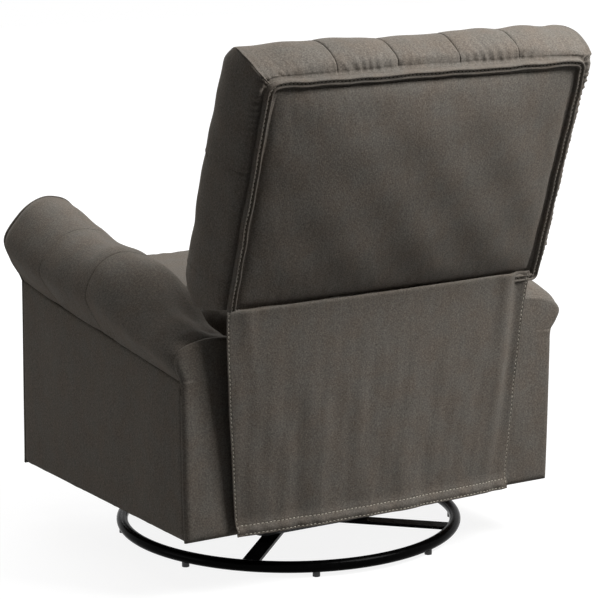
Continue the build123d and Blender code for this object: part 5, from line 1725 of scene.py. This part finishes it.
@dataclass
class Studio:
    """A white floor and sky, four soft lamps and the photograph's camera."""

    camera_place: tuple[float, float, float] = (2455.3, 4005.9, 1451.1)
    camera_aim: tuple[float, float, float] = (-24.2, 3.3, 446.9)
    lens_mm: float = 150.0
    sensor_mm: float = 36.0
    floor_half: float = 9000.0
    lamp_aim: tuple[float, float, float] = (0.0, 0.0, 500.0)
    sky: float = 0.06
    lamps: tuple[Lamp, ...] = (
        Lamp("key", (-1150.0, 1500.0, 2450.0), 1.3, 106.0),     # the rear, from the camera's right
        Lamp("top", (200.0, -250.0, 3000.0), 2.0, 16.0),        # rolls and the back's upper edge
        Lamp("front", (-700.0, -3300.0, 2300.0), 2.2, 62.0),    # only the side that the photo doesn't show
        Lamp("left", (1500.0, -200.0, 150.0), 0.8, 3.8),        # lifts the near arm's outer panel
    )

    def look(self, thing: bpy.types.Object, place: Sequence[float], aim: Sequence[float]) -> None:
        """Puts a camera or lamp in the scene.

        Args:
            thing: the camera or lamp.
            place: where it stands, in millimetres from the swivel axis.
            aim: what it looks at.
        """
        thing.location = Vector(place) * MM + Vector(chair_axis())
        direction = Vector(aim) * MM + Vector(chair_axis()) - thing.location
        thing.rotation_euler = direction.to_track_quat("-Z", "Y").to_euler()
        bpy.context.scene.collection.objects.link(thing)

    def camera(self) -> None:
        """Sets the camera at the photograph's place."""
        data = bpy.data.cameras.new("Camera")
        data.lens = self.lens_mm
        data.sensor_width = self.sensor_mm
        data.clip_end = 60.0
        camera = bpy.data.objects.new("Camera", data)
        self.look(camera, self.camera_place, self.camera_aim)
        bpy.context.scene.camera = camera

    def hang(self, lamp: Lamp) -> None:
        """Hangs one lamp and turns it to the chair.

        Args:
            lamp: its place, size and power.
        """
        data = bpy.data.lights.new(lamp.name, "AREA")
        data.size = lamp.size_m
        data.energy = lamp.watts
        self.look(bpy.data.objects.new(lamp.name, data), lamp.place, self.lamp_aim)

    def shown(self, tree: bpy.types.NodeTree) -> bpy.types.NodeSocket:
        """Tells the rays that show the studio from those that only light the chair.

        Args:
            tree: the node tree that asks.

        Returns:
            1 for rays from the camera, off a glossy face or through a clear one, else 0.
        """
        ray = add_node(tree, "LightPath")
        mirrored = add_node(tree, "Math", {"operation": "MAXIMUM"}, {
            0: ray.outputs["Is Glossy Ray"], 1: ray.outputs["Is Transmission Ray"]})
        return add_node(tree, "Math", {"operation": "MAXIMUM"}, {
            0: ray.outputs["Is Camera Ray"], 1: mirrored.outputs[0]}).outputs[0]

    def floor(self) -> None:
        """A white floor that keeps the chair's soft shadow."""
        mesh = bpy.data.meshes.new("floor")
        h = self.floor_half * MM
        mesh.from_pydata([(-h, -h, 0.0), (h, -h, 0.0), (h, h, 0.0), (-h, h, 0.0)], [], [(0, 1, 2, 3)])
        material, tree, shader = new_material("studio_floor_white_painted", {
            "Base Color": linear("#6c6c6c"), "Roughness": 0.9})
        place = add_node(tree, "TexCoord")
        away = add_node(tree, "VectorMath", {"operation": "LENGTH"}, {0: place.outputs["Object"]})
        level = add_node(tree, "MapRange", {"From Min": 1.0, "From Max": 3.0, "To Min": 0.88, "To Max": 1.0},
                         {"Value": away.outputs["Value"]})
        glow = add_node(tree, "Emission", links={"Strength": level.outputs[0]})
        white = add_node(tree, "MixShader", links={0: self.shown(tree), 1: shader.outputs[0]})
        both = add_node(tree, "AddShader", links={0: shader.outputs[0], 1: glow.outputs[0]})
        tree.links.new(both.outputs[0], white.inputs[2])
        output = next(node for node in tree.nodes if node.bl_idname == "ShaderNodeOutputMaterial")
        tree.links.new(white.outputs[0], output.inputs["Surface"])
        mesh.materials.append(material)
        floor = bpy.data.objects.new("floor", mesh)
        bpy.context.scene.collection.objects.link(floor)

    def world(self) -> None:
        """An even pale sky, white where the camera sees it."""
        world = bpy.data.worlds.new("studio")
        world.use_nodes = True
        tree = world.node_tree
        tree.nodes.clear()
        fill = add_node(tree, "Background", {"Color": (1.0, 1.0, 1.0, 1.0), "Strength": self.sky})
        white = add_node(tree, "Background", {"Color": (1.0, 1.0, 1.0, 1.0), "Strength": 1.0})
        mix = add_node(tree, "MixShader", links={
            0: self.shown(tree), 1: fill.outputs[0], 2: white.outputs[0]})
        add_node(tree, "OutputWorld", links={"Surface": mix.outputs[0]})
        bpy.context.scene.world = world

    def build(self) -> None:
        """Sets up floor, sky, lamps and camera."""
        bpy.context.scene.view_settings.view_transform = "Standard"
        self.floor()
        self.world()
        for lamp in self.lamps:
            self.hang(lamp)
        self.camera()
        LOG.info("studio ready")


def main() -> None:
    """Builds the chair's sub-assemblies in order, then the studio."""
    logging.basicConfig(level=logging.INFO, format="%(message)s", stream=sys.stdout)
    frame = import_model()
    wardrobe = Wardrobe()
    RingBase(wardrobe).dress(frame)
    RolledArm(wardrobe, "left").build()
    # The photo's right arm stands out a little farther than the left one.
    RolledArm(wardrobe, "right", outer_x=405.0, foot_x=400.0, overhang_rear=20.0).build()
    TuftedBack(wardrobe).build()
    RearFlap(wardrobe).build()
    SeatAndFootrest(wardrobe).build()
    Studio().build()


if __name__ == "__main__":
    main()
